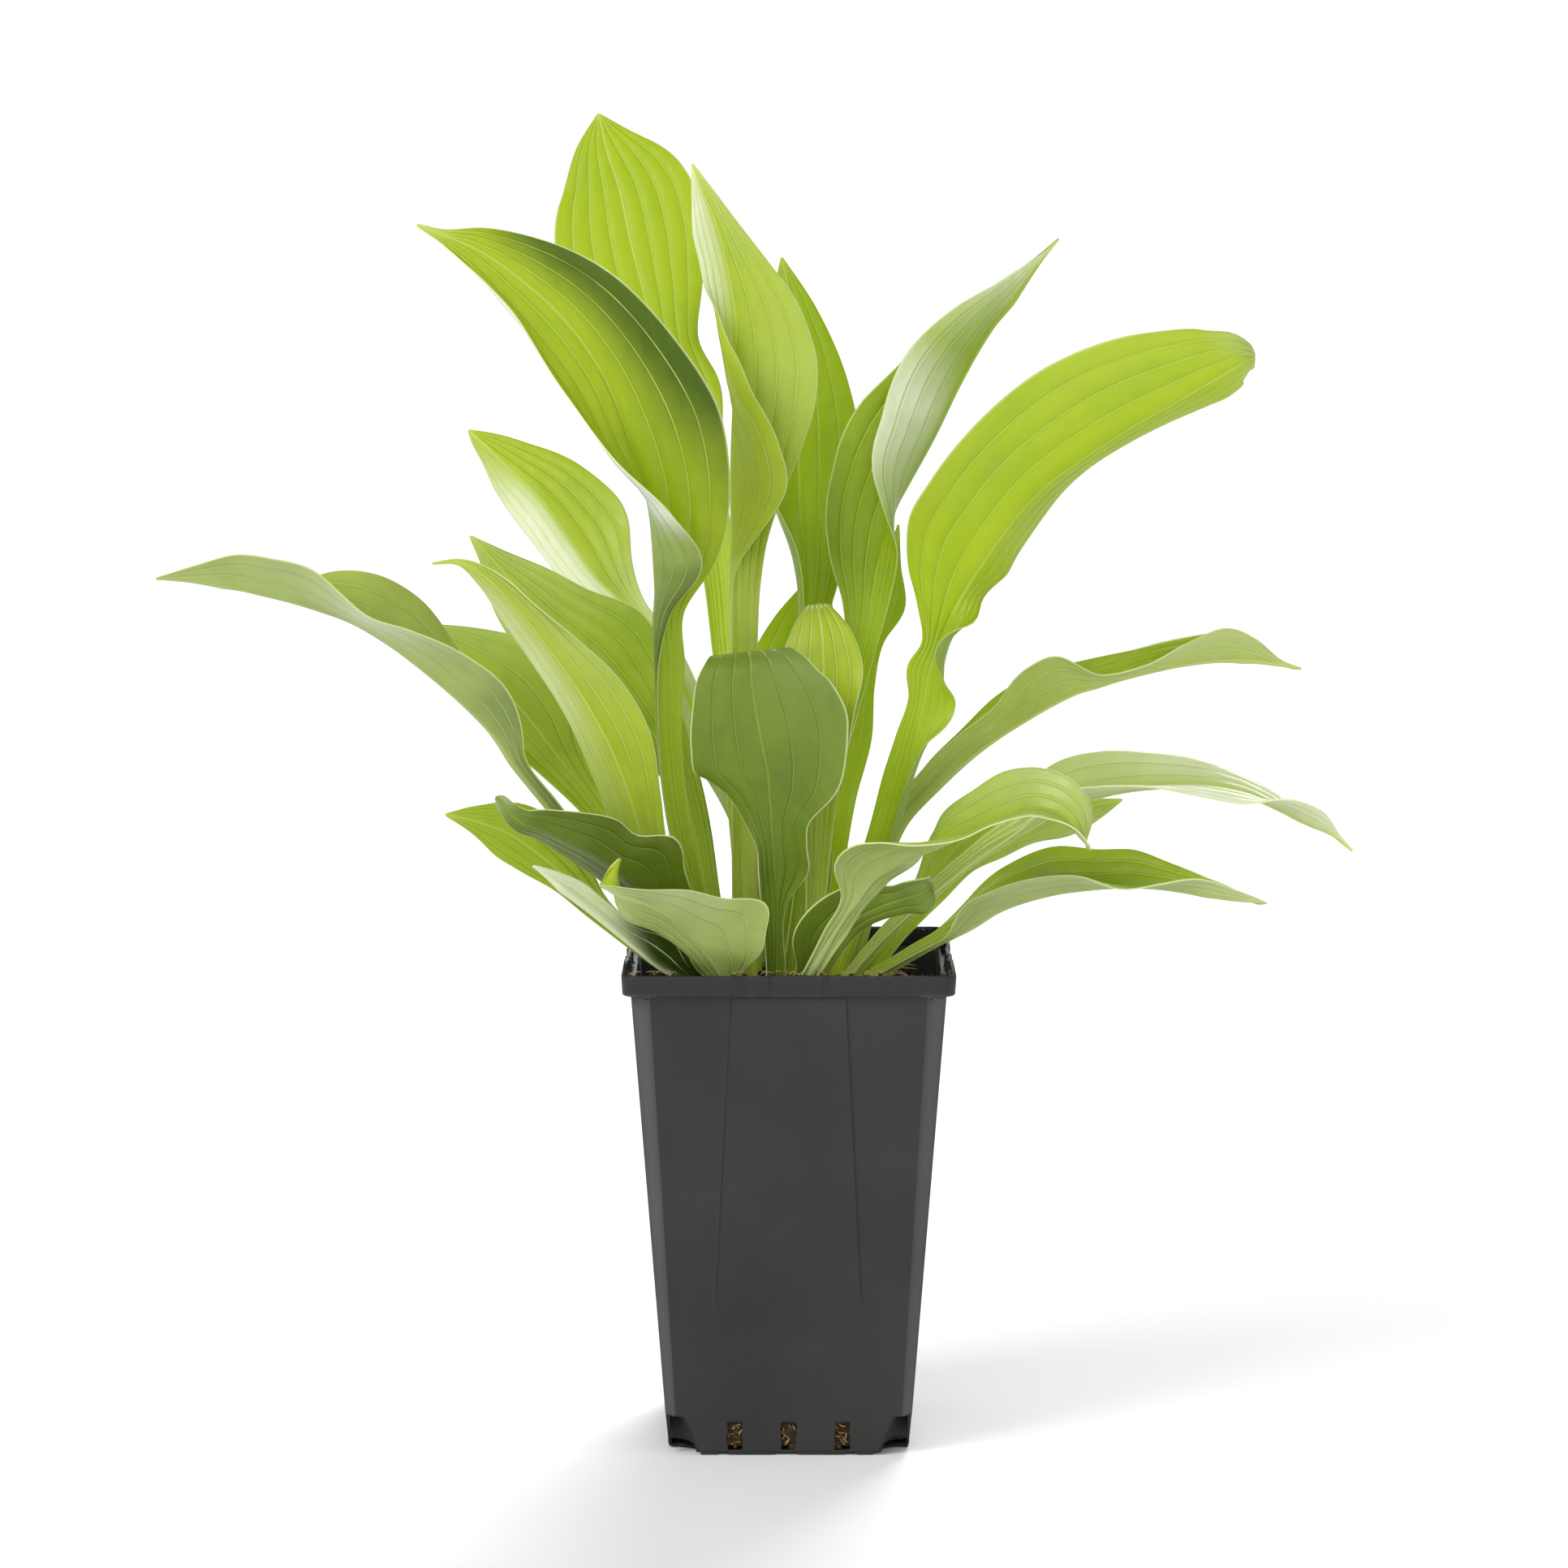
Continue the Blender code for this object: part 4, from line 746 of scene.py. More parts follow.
def leaf_grid(rows, sections, cells):
    """Points of a leaf in mm, on a grid of sections along and 2 cells + 1 across, with the way across
    from -1 to 1 and the half widths. The rib is a smooth curve through the stations. A frame is carried
    up it without twist, face to the front at first. Each half blade leaves the rib across that frame, and
    its direction turns with the square of the way out, so its real width is kept however far it rolls."""
    knots = lengths(rows[:, :3])
    at = np.linspace(0.0, knots[-1], sections)
    line = hermite(knots, rows, at)
    rib = line[:, :3]
    tangent = np.gradient(rib, axis=0)
    tangent /= np.linalg.norm(tangent, axis=1)[:, None]
    face = np.array([0.0, -1.0, 0.0])
    across, out = np.empty_like(rib), np.empty_like(rib)
    for i, t in enumerate(tangent):
        face = face - face.dot(t) * t
        face /= np.linalg.norm(face)
        out[i], across[i] = face, np.cross(t, face)
    way = np.linspace(0.0, 1.0, cells + 1)
    middle = (way[1:] + way[:-1]) / 2
    halves, widths = [], []
    for side, first in ((-1.0, 3), (1.0, 6)):
        width = np.maximum(line[:, first], 0.3)[:, None]
        inner, outer = np.radians(line[:, first + 1])[:, None], np.radians(line[:, first + 2])[:, None]
        turn = inner + (outer - inner) * middle ** 2
        dx = np.cumsum(np.cos(turn) * width / cells, axis=1) * side
        dy = np.cumsum(np.sin(turn) * width / cells, axis=1)
        halves.append(rib[:, None] + dx[..., None] * across[:, None] + dy[..., None] * out[:, None])
        widths.append(np.repeat(width, cells, axis=1))
    grid = np.concatenate([halves[0][:, ::-1], rib[:, None], halves[1]], axis=1)
    half = np.concatenate([widths[0], (widths[0][:, :1] + widths[1][:, :1]) / 2, widths[1]], axis=1)
    return grid, np.concatenate([-way[:0:-1], way]), at, half


def across_halves(table, at, way, spread):
    """Values over a leaf from rows of share along, value on the left margin, value on the right margin:
    they fall to 0 at the rib by the way out to the power of the spread."""
    rows = np.array(table, float)
    left, right = (np.interp(at, rows[:, 0], rows[:, k])[:, None] for k in (1, 2))
    return np.where(way < 0, left, right) * np.abs(way) ** spread


def shell_faces(sections, columns, upper):
    """Quads round the sections, a cap on each end, and which of them lie on the lower face."""
    quads = skin(sections, 2 * columns)
    first = np.arange(columns - 1)
    cap = np.stack([first + 1, first, 2 * columns - 1 - first, 2 * columns - 2 - first], axis=-1)
    quads = np.concatenate([quads, cap, cap[:, ::-1] + (sections - 1) * 2 * columns])
    is_under = np.tile(np.arange(2 * columns) >= columns, sections - 1)
    is_under = np.concatenate([is_under, np.zeros(2 * (columns - 1), bool)])
    return quads[:, ::upper], is_under


def grow_leaf(name, upper, lean, tone, rows, back="sage", veins=3, glow=0.42, pillow=0.6, wave=0.6, phase=0.0,
              foot=0.01, spread=0.3, sheen_shade=((0, 0, 0),), back_sheen_shade=((0, 0, 0),)):
    """One leaf in place of its CAD node. To the leaf grid it adds, along the upper face's normal, a
    pillow between each pair of veins (the sine of the vein count times the way, to the power 0.7) and a
    slow wave that grows with the cube of the way out. The lower face is the upper one moved in by the
    thickness, and each section's ring runs over the one and back under the other."""
    rows = leaf_stations(rows, lean)
    length = lengths(rows[:, :3])[-1]
    sections = int(np.clip(length / SECTION_STEP, 50, 190))
    cells = 20 if rows[:, 3].max() + rows[:, 6].max() > 30 else 14
    grid, way, at, half = leaf_grid(rows, sections, cells)
    normal = np.cross(np.gradient(grid, axis=1), np.gradient(grid, axis=0)) * upper
    normal /= np.linalg.norm(normal, axis=2)[..., None] + 1e-9
    wide = half[:, 0] + half[:, -1]
    share, way, at = (at / length)[:, None], way[None, :], at[:, None]
    side = np.abs(way)
    stalk = np.interp(wide, (9.5, 20.0), (1.0, 0.0))[:, None] * np.interp(share, (0.55, 0.8), (1.0, 0.0))
    rise = pillow * np.minimum(half / veins * 0.11, 0.7) * np.abs(np.sin(np.pi * veins * side)) ** 0.7
    rise = rise * np.interp(side, (0.8, 1.0), (1.0, 0.3))
    ripple = wave * side ** 3 * np.sin(at / 9.0 + phase + 2.0 * np.sign(way)) * np.minimum(half / 15, 1.0)
    over = grid + ((rise + ripple) * (1 - stalk))[..., None] * normal
    rib_thick = np.minimum(np.interp(wide, (9.0, 24.0), (STALK_THICK, RIB_THICK))[:, None],
                           np.interp(share, (0.85, 1.0), (STALK_THICK, BLADE_THICK)))
    sharpness = np.interp(wide, (9.0, 30.0), (2.0, 8.0))[:, None]
    thick = BLADE_THICK + (rib_thick - BLADE_THICK) * (1 - side) ** sharpness
    under = over - thick[..., None] * normal

    def round_about(values):
        values = np.broadcast_to(values, grid.shape[:2])
        return np.concatenate([values, values[:, ::-1]], axis=1)

    quads, is_under = shell_faces(sections, grid.shape[1], upper)
    ring = np.concatenate([over, under[:, ::-1]], axis=1)
    mesh = bpy.data.meshes.new(name + "_leaf")
    mesh.from_pydata((ring.reshape(-1, 3) * MM).tolist(), [], quads.tolist())
    mesh.polygons.foreach_set("material_index", is_under.astype(int))
    flat = np.stack([round_about(at / 100), round_about((way + 1) / 2)], axis=-1).reshape(-1, 2)
    mesh.uv_layers.new(name="leaf").data.foreach_set("uv", flat[quads.reshape(-1)].reshape(-1))
    # Marks of painted sheen (above 0) and painted shade (below 0) over each face
    marks = {"half_mm": half, "stalk": stalk, "share": share,
             "sheen_shade": across_halves(sheen_shade, share[:, 0], way, spread),
             "back_sheen_shade": across_halves(back_sheen_shade, share[:, 0], way, 0.3)}
    for key, values in marks.items():
        mesh.attributes.new(key, "FLOAT", "POINT").data.foreach_set("value", round_about(values).reshape(-1))
    mesh.shade_smooth()
    mesh.set_sharp_from_angle(angle=math.radians(60))
    mesh.materials.append(leaf_face(name + "_upper", tone, "sheen_shade", veins, glow, foot))
    mesh.materials.append(leaf_face(name + "_under", back, "back_sheen_shade", veins, glow * 0.8, foot))
    piece = in_scene(name + "_leaf", mesh)
    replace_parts(piece, name)
    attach(piece, "root")


# Each leaf: its node, 1 where its upper face is in front or else -1, how far its tip leans to the back, its
# tone, and its stations in mm and degrees: rib x, y, z | left half: width, angle at the rib, angle at the
# margin | right half: the same. A row of painted sheen and shade (sheen above 0, shade below) is the share
# of the length | left | right.
grow_leaf("leaf_tall_back", 1, 55, "lime", [
    (-12, 14, 148, 3.5),
    (-16, 18, 200, 4, 15, 60),
    (-20, 21, 250, 5, 15, 60),
    (-23.5, 24, 284, 7, 15, 50, 6, 15, 50),
    (-29.5, 27, 309, 12, 5, 30, 9, 10, 30),
    (-36.5, 30, 332, 20, 0, 10, 15, 0, 10),
    (-42, 32, 349, 24, 0, 5, 14, 0, -50),
    (-47, 34, 366, 25, 0, 5, 20, 0, -10),
    (-51.5, 37, 383, 24.5, 0, 5),
    (-55, 40, 399, 19.5, 0, 5, 22.5, 0, 5),
    (-59.5, 43, 413, 10, 0, 0, 12, 0, 0),
    (-61.5, 45, 423),
], veins=4, glow=0.5, pillow=0.8, foot=1.2)

grow_leaf("leaf_broad_left", 1, -25, "lime", [
    (-25, -4, 150, 3.5, 30, 80, 3.5, 10, 60),
    (-31, -6, 176, 4, 40, 100, 4.5, 5, 45),
    (-37, -8, 200, 4, 50, 110, 5.5, 0, 35),
    (-40, -9, 225, 4.5, 60, 115, 6, 0, 30),
    (-41, -10, 250, 5, 65, 140, 8, -5, 15),
    (-41.5, -11, 266, 8, 90, 190, 8.5, -5, 10),
    (-42, -12, 281, 19, 120, 190, 19, 0, -10),
    (-44, -13, 300, 20, 95, 150, 26, 0, 0),
    (-50, -14, 320, 21, 55, 115, 30, 0, 0),
    (-60, -14, 344, 19, 25, 100, 25, 0, 5),
    (-71, -13, 359, 18, 10, 120, 21, 0, 5),
    (-84, -11, 371, 15, 0, 140, 15, 0, 0),
    (-98, -9, 380.5, 8, 0, 110, 7.5, 0, 0),
    (-109, -7, 385, 2.5, 0, 60, 1.8, 0, 0),
    (-117, -6, 388),
], veins=4, phase=1.7, pillow=0.8, spread=0.8,
   sheen_shade=((0.46, 0, 0), (0.56, 0, -0.35), (0.66, 0, -0.95), (0.74, 0.05, -1.25), (0.85, 0.1, -1.15),
          (0.91, 0.1, -0.7), (0.96, 0.1, 0), (1, 0.2, 0.2)),
   back_sheen_shade=((0.3, 0, 0), (0.4, -0.9, 0), (0.5, -0.6, 0), (0.58, 1, 0)))

grow_leaf("leaf_tall_centre", 1, 12, "lime", [
    (-15, 2, 150, 4, 30, 90, 5, 0, 30),
    (-16, 2, 200, 4.5, 40, 120, 6, 0, 30),
    (-17, 3, 252, 5, 50, 140, 7, 0, 30),
    (-17.2, 4, 275, 5.5, 60, 150, 8.5, 0, 25),
    (-17.5, 5, 288, 12, 110, 175, 11, 0, 15),
    (-17.7, 6, 303, 21, 130, 180, 16, 0, 10),
    (-17.6, 7, 318, 21, 115, 180, 22, 0, 5),
    (-17.2, 8, 334, 20, 75, 185, 26, 0, 5),
    (-16.8, 8, 347, 16, 50, 180, 25.5, 0, 5),
    (-17, 7, 358, 11, 20, 150, 21.5, 0, 5),
    (-19.5, 6, 374, 8.5, 0, 20, 13, 0, 5),
    (-23.5, 4, 389, 7.5, 0, 5, 6, 0, 5),
    (-27.5, 3, 399, 3.5, 0, 5, 3, 0, 5),
    (-30.5, 2, 407),
], back="lime", veins=4, phase=3.4, glow=0.36, foot=1.1,
   sheen_shade=((0, 0, 0), (0.33, 0, -0.1), (0.42, 0, -0.5), (0.5, 0, -0.2), (0.6, 0, 0.1), (0.75, 0.15, 0.25),
          (0.85, 0.7, 0.2), (1, 1, 0.4)),
   back_sheen_shade=((0, 0, 0), (0.3, -0.1, -0.1), (0.5, -0.2, -0.2), (0.7, -0.1, 0), (1, 0, 0)))

grow_leaf("leaf_mid_back", 1, 40, "green", [
    (2, 14, 148, 3.2),
    (3, 17, 200, 3.8),
    (4, 19, 240, 5, 20, 70, 5, 20, 60),
    (5, 20, 261, 7, 60, 140, 8, 10, 30),
    (5, 21, 279, 12, 50, 150, 13, 0, 20),
    (3.5, 22, 299, 16, 20, 110, 18, 0, 10),
    (3, 24, 319, 18, 10, 50, 20, 0, 5),
    (3, 27, 339, 15, 0, 10, 15.5, 0, 5),
    (1, 30, 359, 8, 0, 0, 8.5, 0, 0),
    (-2.2, 32, 377),
], phase=5.1, glow=0.46,
   sheen_shade=((0, -0.2, -0.3), (0.4, -0.2, -0.4), (0.6, 0, -0.4), (0.8, 0.1, -0.1), (1, 0.1, 0.1)))

grow_leaf("leaf_folded_right", 1, 15, "green", [
    (1.5, -4, 150, 3.5, 10, 50),
    (5.5, -2, 175, 4, 10, 45),
    (9, 0, 200, 4.2, 10, 45),
    (17, 3, 230, 4.5, 10, 45, 4.5, 10, 50),
    (23, 5, 252, 5, 5, 35, 5, 20, 50),
    (26, 6, 266, 9, 0, 15, 6, 20, 50),
    (29, 7, 282, 17, 0, 5, 8, 40, 65),
    (33, 7, 296, 22, -5, 0, 12, 80, 150),
    (37.5, 6, 305, 25, -5, 0, 17, 120, 175),
    (45.5, 5, 320, 25.5, -5, 0, 20, 145, 175),
    (54, 4, 338, 18.5, -5, 0, 21, 150, 172),
    (62.5, 4, 353, 13, -5, 0, 15, 150, 170),
    (71, 4, 365, 7, -5, 0, 8, 145, 165),
    (79, 4, 376, 2, -5, 0, 2.2, 140, 160),
    (85.5, 4, 383.5, 0.4, 0, 0, 0.4, 90, 90),
], back="green", veins=4, phase=0.5, glow=0.4,
   sheen_shade=((0.2, 0, 0), (0.3, 0.5, 0.6), (0.42, -0.2, 0), (0.55, -0.5, 0), (0.7, -0.2, 0),
          (0.85, 0.25, 0), (1, 0.4, 0)),
   back_sheen_shade=((0, 0, 0), (0.55, 0, 0.1), (0.66, 0, 0.7), (0.74, 0, 1), (0.82, 0, 0.35), (0.9, 0.1, 0.6),
               (1, 0.3, 1)))

grow_leaf("leaf_small_bright", 1, 0, "lime", [
    (8, -12, 151, 3),
    (9, -13, 185, 4),
    (10, -13, 215, 7, 5, 40),
    (11, -12, 235, 12, 0, 20, 11.5, 0, 70),
    (11, -11, 249, 13.5, 0, 10, 12.5, 0, 25),
    (10.5, -9, 259, 10.5, 0, 0, 9.5, 0, 5),
    (9.5, -4, 265.5, 6, 0, 0, 5.5, 0, 0),
    (9, 2, 267.6, 3, 0, 0),
    (8.5, 7, 266.5),
], phase=2.2, glow=0.25, foot=0.3,
   sheen_shade=((0, 0.1, 0.1), (1, 0.2, 0.1)))

grow_leaf("leaf_cup_front", 1, -12, "grey", [
    (-4, -20, 152, 3.3),
    (-3.9, -24, 176, 5.5, 10, 60, 4, 0, 40),
    (-4.6, -26, 186, 5.6, 20, 50, 11.5, 0, 50),
    (-5.3, -28, 194, 5, 10, 20, 11.5, 0, 45),
    (-5.7, -29, 202, 8.5, 0, -20, 13, 5, 45),
    (-6.2, -30, 210, 13.5, 0, -30, 21, 5, 30),
    (-6.8, -31, 218, 22, 0, -20, 25, 0, 15),
    (-9.3, -31, 230, 22, 0, 0, 28.3, 0, 0),
    (-11, -29.5, 240, 19.5, 0, 0, 26, 0, 0),
    (-11.8, -28, 246.5, 17.5, 0, 0, 22.5, 0, 0),
    (-12, -26.5, 250.5, 15.5, 0, 0, 19, 0, 0),
    (-12.2, -23, 253.5, 13.5, 0, 0, 15, 0, 0),
    (-12.2, -18, 254.3, 12, 0, 0, 12.5, 0, 0),
    (-12.2, -13, 252.5, 8.5, 0, 0, 9, 0, 0),
    (-12.2, -8.5, 249),
], phase=3.9, glow=0.12, wave=0.3, pillow=0.3,
   sheen_shade=((0, 0, 0), (0.4, -0.15, -0.1), (0.6, -0.05, 0.1), (0.72, -0.25, 0.12), (0.85, -0.05, 0.2),
          (0.93, 0.1, 0.2), (1, 0.1, 0.1)))

grow_leaf("leaf_big_right", 1, -30, "lime", [
    (15, 0, 149, 3.5, 5, 50, 3.5, 20, 70),
    (20.5, -1, 165, 4.5, 5, 40, 4.5, 30, 90),
    (33, -3, 197, 6.8, 0, 15, 7.2, 50, 165),
    (37, -4, 212, 7, 0, 10, 8, 50, 165),
    (40, -5, 225, 6, 0, 10, 8, 30, 140),
    (43, -6, 238, 5, 0, 10, 10.5, -10, 40),
    (44.5, -7, 247, 7, 0, 10, 8, 20, 110),
    (47, -8, 255, 5, 0, 10, 13, 50, 185),
    (51, -9, 264, 12, 0, -15, 10, 40, 140),
    (55, -9.5, 271.5, 20, 0, -5, 7.5, -20, -20),
    (61, -10, 281, 27.5, 0, 0, 18, -45, -65),
    (68, -11, 291, 29, 0, 0, 20.5, -55, -75),
    (76, -12, 301, 29.5, 0, 0, 22, -60, -80),
    (102, -14, 321, 31, 0, 0, 21, -60, -80),
    (125, -15, 334.5, 24, 0, 0, 16, -50, -75),
    (137, -13.5, 341.5, 16.5, 0, -15, 12, -35, -50),
    (143.5, -10.5, 345, 10, 0, -25, 8, -25, -40),
    (146.8, -6, 345.5, 4.5, 0, -25, 4.5, -20, -30),
    (147.5, -1, 343),
], veins=4, phase=5.6, glow=0.5, wave=0.8, pillow=0.9,
   sheen_shade=((0, 0, 0), (0.4, 0, -0.1), (0.5, -0.1, -0.2), (0.6, 0.1, 0.25), (0.8, 0.15, 0.2),
          (0.93, 0.15, 0.2), (1, 0.6, 0.6)))

grow_leaf("leaf_pale_left", 1, 45, "lime", [
    (-11, 23, 147, 3.2),
    (-15, 26, 193, 3.6),
    (-28, 28, 223, 6, 0, 30, 5, 10, 60),
    (-40, 29, 250, 5, 10, 50, 5, 20, 60),
    (-52, 30, 264, 6, -20, -40, 6, 0, 40),
    (-62, 31, 273.5, 13, -40, -60, 15, 0, 30),
    (-70, 33, 284.5, 17, -45, -65, 20.5, 0, 10),
    (-80.5, 35, 299, 17, -45, -65, 17, 0, 5),
    (-91.5, 37, 309.5, 11, -40, -60, 10.5, 0, 0),
    (-99, 38, 316.5, 4.5, -30, -50, 5, 0, 0),
    (-104, 39, 321),
], veins=4, phase=1.0, glow=0.4,
   sheen_shade=((0, 0.8, 0.8), (0.5, 1.4, 1), (0.62, 1.3, 0.45), (0.7, 1.2, 0.2), (0.85, 1, 0.1),
          (0.93, 0.5, 0.1), (1, 0.2, 0.1)))

grow_leaf("leaf_upper_left", 1, 22, "green", [
    (-21, 8, 149, 3.2),
    (-27, 8, 176, 3.6, 10, 60, 4.5, 0, 30),
    (-31, 9, 195, 4, 10, 60, 6, -10, -20),
    (-35.5, 10, 211, 5, 10, 50, 7, 0, 30),
    (-43, 11, 224, 9, 5, 30, 12, 10, 30),
    (-53, 12, 236, 13, 0, 10, 19, 0, 20),
    (-64, 13, 248, 15, 0, 5, 23, 0, 10),
    (-76, 15, 260, 14, 0, 5, 16, 0, 5),
    (-87, 17, 271, 10.5, 0, 5, 11, 0, 5),
    (-96, 19, 281, 4, 0, 0, 4.5, 0, 0),
    (-102.5, 20, 288),
], veins=4, phase=2.7, glow=0.25,
   sheen_shade=((0, -0.4, -0.35), (0.4, -0.4, -0.3), (0.6, -0.1, 0), (0.75, 0.1, 0.15), (0.85, 0.3, 0.2),
          (1, 0.3, 0.3)))

grow_leaf("leaf_narrow_front_left", 1, -20, "lime", [
    (-27, -13, 151, 3.2),
    (-38, -18, 175, 5, 10, 40, 5, 10, 50),
    (-46, -21, 194, 8.5, 0, 20, 7.5, 0, 30),
    (-50, -23, 208, 8.5, 0, 10, 10, 0, 20),
    (-56, -25, 224, 8.5, 0, 10, 13.5, 0, 15),
    (-65, -27, 241, 7.5, 0, 10, 13, 0, 15),
    (-75, -29, 256, 7, 0, 10, 9.5, 0, 40),
    (-85, -31, 269, 6, 0, 10, 7, 0, 100),
    (-94.5, -33, 279, 3.5, 0, 10, 3.5, 0, 60),
    (-103, -34, 284, 1.2, 0, 0, 1, 0, 0),
    (-111, -35, 283.5),
], phase=4.4, glow=0.3,
   sheen_shade=((0, 0, 0), (0.5, 0.3, 0.1), (0.7, 0.6, 0.3), (0.85, 0.55, 0.3), (1, 0.1, 0.1)))

grow_leaf("leaf_long_left", -1, -15, "olive", [
    (-33, -22, 152, 3.4, -100, -120, 3.5, 40, 70),
    (-54, -27, 181, 3.4, -110, -130, 3.8, 40, 70),
    (-75, -31, 208, 3.4, -110, -130, 4, 40, 70),
    (-85.5, -33.5, 221.5, 4, -112, -125, 5, 35, 60),
    (-90.5, -34.5, 228, 8, -115, -120, 10.5, 30, 50),
    (-99.5, -36, 238, 15, -120, -110, 18, 35, 45),
    (-112.5, -38.5, 250, 20, -125, -115, 20, 40, 55),
    (-125.5, -40, 260, 21, -135, -130, 19.5, 55, 70),
    (-137, -42, 266.8, 18, -140, -138, 18, 62, 78),
    (-144, -43, 269.6, 16, -130, -130, 17.5, 50, 65),
    (-152.5, -44, 272.4, 15.5, -95, -95, 17, 30, 45),
    (-164.5, -45, 275.4, 12, -75, -75, 15, 20, 35),
    (-173.5, -45.5, 277.5, 8, -75, -75, 12, 15, 25),
    (-184, -46, 279.3, 3.5, -80, -80, 5.5, 15, 20),
    (-196, -46, 279.8, 0.4, -90, -90, 0.4, 20, 20),
], phase=6.1, glow=0.2, pillow=0.3,
   back_sheen_shade=((0, 0, 0), (0.2, -0.4, -0.5), (0.35, -0.5, -0.65), (0.52, -0.45, -0.5), (0.6, 0, 0.15),
               (0.72, 0.25, 0.45), (0.82, 0.55, 0.2), (1, 0.5, 0)))

grow_leaf("leaf_mid_left", 1, 20, "green", [
    (-29, 0, 149, 3.2),
    (-46, -3, 180, 4),
    (-61, -6, 203, 5, 10, 50),
    (-73, -8, 219, 8, 0, 40, 10, 0, 20),
    (-81, -10, 230, 11, 0, 50, 19, 0, 10),
    (-90, -12, 241, 12, 0, 10, 21, 0, 10),
    (-100, -13, 251, 9, 0, 5, 12, 0, 5),
    (-110, -14, 258, 5, 0, 0),
    (-120, -15, 262),
], phase=1.5, glow=0.3,
   sheen_shade=((0, -0.15, -0.15), (0.4, -0.15, -0.1), (0.7, 0.1, 0.15), (1, 0.3, 0.3)))

grow_leaf("leaf_low_dark_left", 1, -15, "dark", [
    (-24, -25, 152, 3.5, 20, 50),
    (-34.5, -31, 165.5, 6, -30, -50, 9, 0, 20),
    (-44, -35.5, 178, 10, -40, -60, 14.5, 0, 15),
    (-50, -37.5, 184.5, 11, -40, -60, 19.5, 0, 10),
    (-55, -38.5, 188.7, 12, -45, -60, 12.8, 0, 0),
    (-61, -39.5, 192.7, 12, -45, -60, 13.5, 0, 0),
    (-69, -41, 197, 11, -45, -60, 11, 0, 5),
    (-77.5, -42.5, 200.8, 7, -40, -50, 7.5, 0, 10),
    (-83.5, -43, 203, 4, -20, -30, 5, 0, 10),
    (-87, -41.5, 206, 2.8, 0, 0, 3.2, 0, 0),
    (-90.5, -37, 209.5, 2, 0, 0),
    (-92, -33, 210),
], phase=3.2, glow=0.08, pillow=0.3,
   sheen_shade=((0, 0, -0.2), (0.4, -0.3, 0.05), (0.6, -0.2, -0.2), (0.8, -0.15, -0.1), (0.9, 0.1, 0.1),
          (0.95, 0.5, 0.6), (1, 0.8, 0.8)))

grow_leaf("leaf_low_bright_left", 1, 5, "green", [
    (-33, -8.5, 149, 3),
    (-45, -14, 159, 3.6),
    (-61, -20, 173.5, 4.5, 10, 50),
    (-71, -26, 184, 5.5, 0, 30, 9, 0, 20),
    (-80, -27, 191.5, 7.5, 0, 10, 12.5, 0, 10),
    (-89, -28, 198, 8, 0, 5, 10.5, 0, 5),
    (-99, -29, 202, 4, 0, 0, 5, 0, 0),
    (-108, -30, 204),
], phase=4.9, glow=0.36,
   sheen_shade=((0, 0, 0), (0.5, -0.4, -0.25), (0.8, -0.1, 0), (1, 0, 0)))

grow_leaf("leaf_low_pale_left", -1, -15, "dark", [
    (-31, -36, 153, 4, -100, -120, 5, 30, 60),
    (-41, -39, 157.5, 8, -110, -120, 14, 15, 40),
    (-47, -40.5, 162.8, 8, -110, -120, 13, 20, 50),
    (-53, -41.7, 169, 7, -110, -120, 7, 30, 60),
    (-60.5, -43, 175.6, 7, -110, -115, 6, 30, 60),
    (-68, -44, 181.6, 5.5, -110, -110, 5.5, 20, 40),
    (-75, -45, 187, 2.5, -110, -110, 2.5, 20, 20),
    (-80, -46, 190.3, 0.4, -90, -90, 0.4, 20, 20),
], back="pale", phase=0.3, glow=0.12,
   back_sheen_shade=((0, -1.7, -1.7), (0.42, -1.6, -1.6), (0.72, 0, 0.1), (0.82, 0.2, 0.3), (1, 0.3, 0.5)))

grow_leaf("leaf_low_front_left", -1, -20, "lime", [
    (-20.5, -42, 154, 3.5, 0, -30, 8, 10, 30),
    (-22.5, -43.5, 157.5, 5, -10, -40, 16, 15, 25),
    (-25.2, -45, 161.5, 5.5, -10, -40, 21, 15, 15),
    (-28.5, -46.5, 166, 6, -10, -40, 25.5, 10, 10),
    (-33, -48, 171, 7, -10, -40, 17, 10, 5),
    (-38.5, -50.5, 176, 8.5, 0, -40, 11, 5, 0),
    (-44.5, -52, 179.5, 11, -10, -60, 5.5, 0, 0),
    (-50, -53, 181.7, 12, -70, -115, 3, 0, 0),
    (-54.5, -52.5, 183, 11.5, -115, -150, 2, 0, 0),
    (-57.5, -51, 184, 8, -110, -150, 1, 0, 0),
    (-59, -50, 184.4, 0.4, -90, -90, 0.4, 0, 0),
], phase=2.0, glow=0.2, wave=0.4, pillow=0.3,
   back_sheen_shade=((0, -0.3, -0.3), (0.3, -0.25, 0), (0.5, -0.05, 0.15), (0.7, 0.05, 0.25), (1, 0.15, 0.2)))

grow_leaf("leaf_curled_front_right", 1, -8, "grey", [
    (9, -32, 154, 7, 10, 30, 3.5, 10, 50),
    (13, -35, 163, 13, 10, 40, 4.5, 0, 40),
    (19, -37, 170.5, 13, 10, 30, 4.5, 0, -20),
    (27, -38.5, 175.5, 9.5, 0, 10, 5, 0, -20),
    (35, -39.5, 178.5, 5.5, 0, 20, 6, 0, -20),
    (41, -40, 180.5, 7, 10, 60, 7.5, 0, -10),
    (44, -38, 182, 5, 20, 60, 5, 0, 0),
    (45, -35, 183),
], veins=2, phase=3.7, glow=0.12, pillow=0.3,
   sheen_shade=((0, -0.1, -0.1), (0.6, -0.15, 0), (0.85, 0.25, 0.1), (1, 0.3, 0.2)))

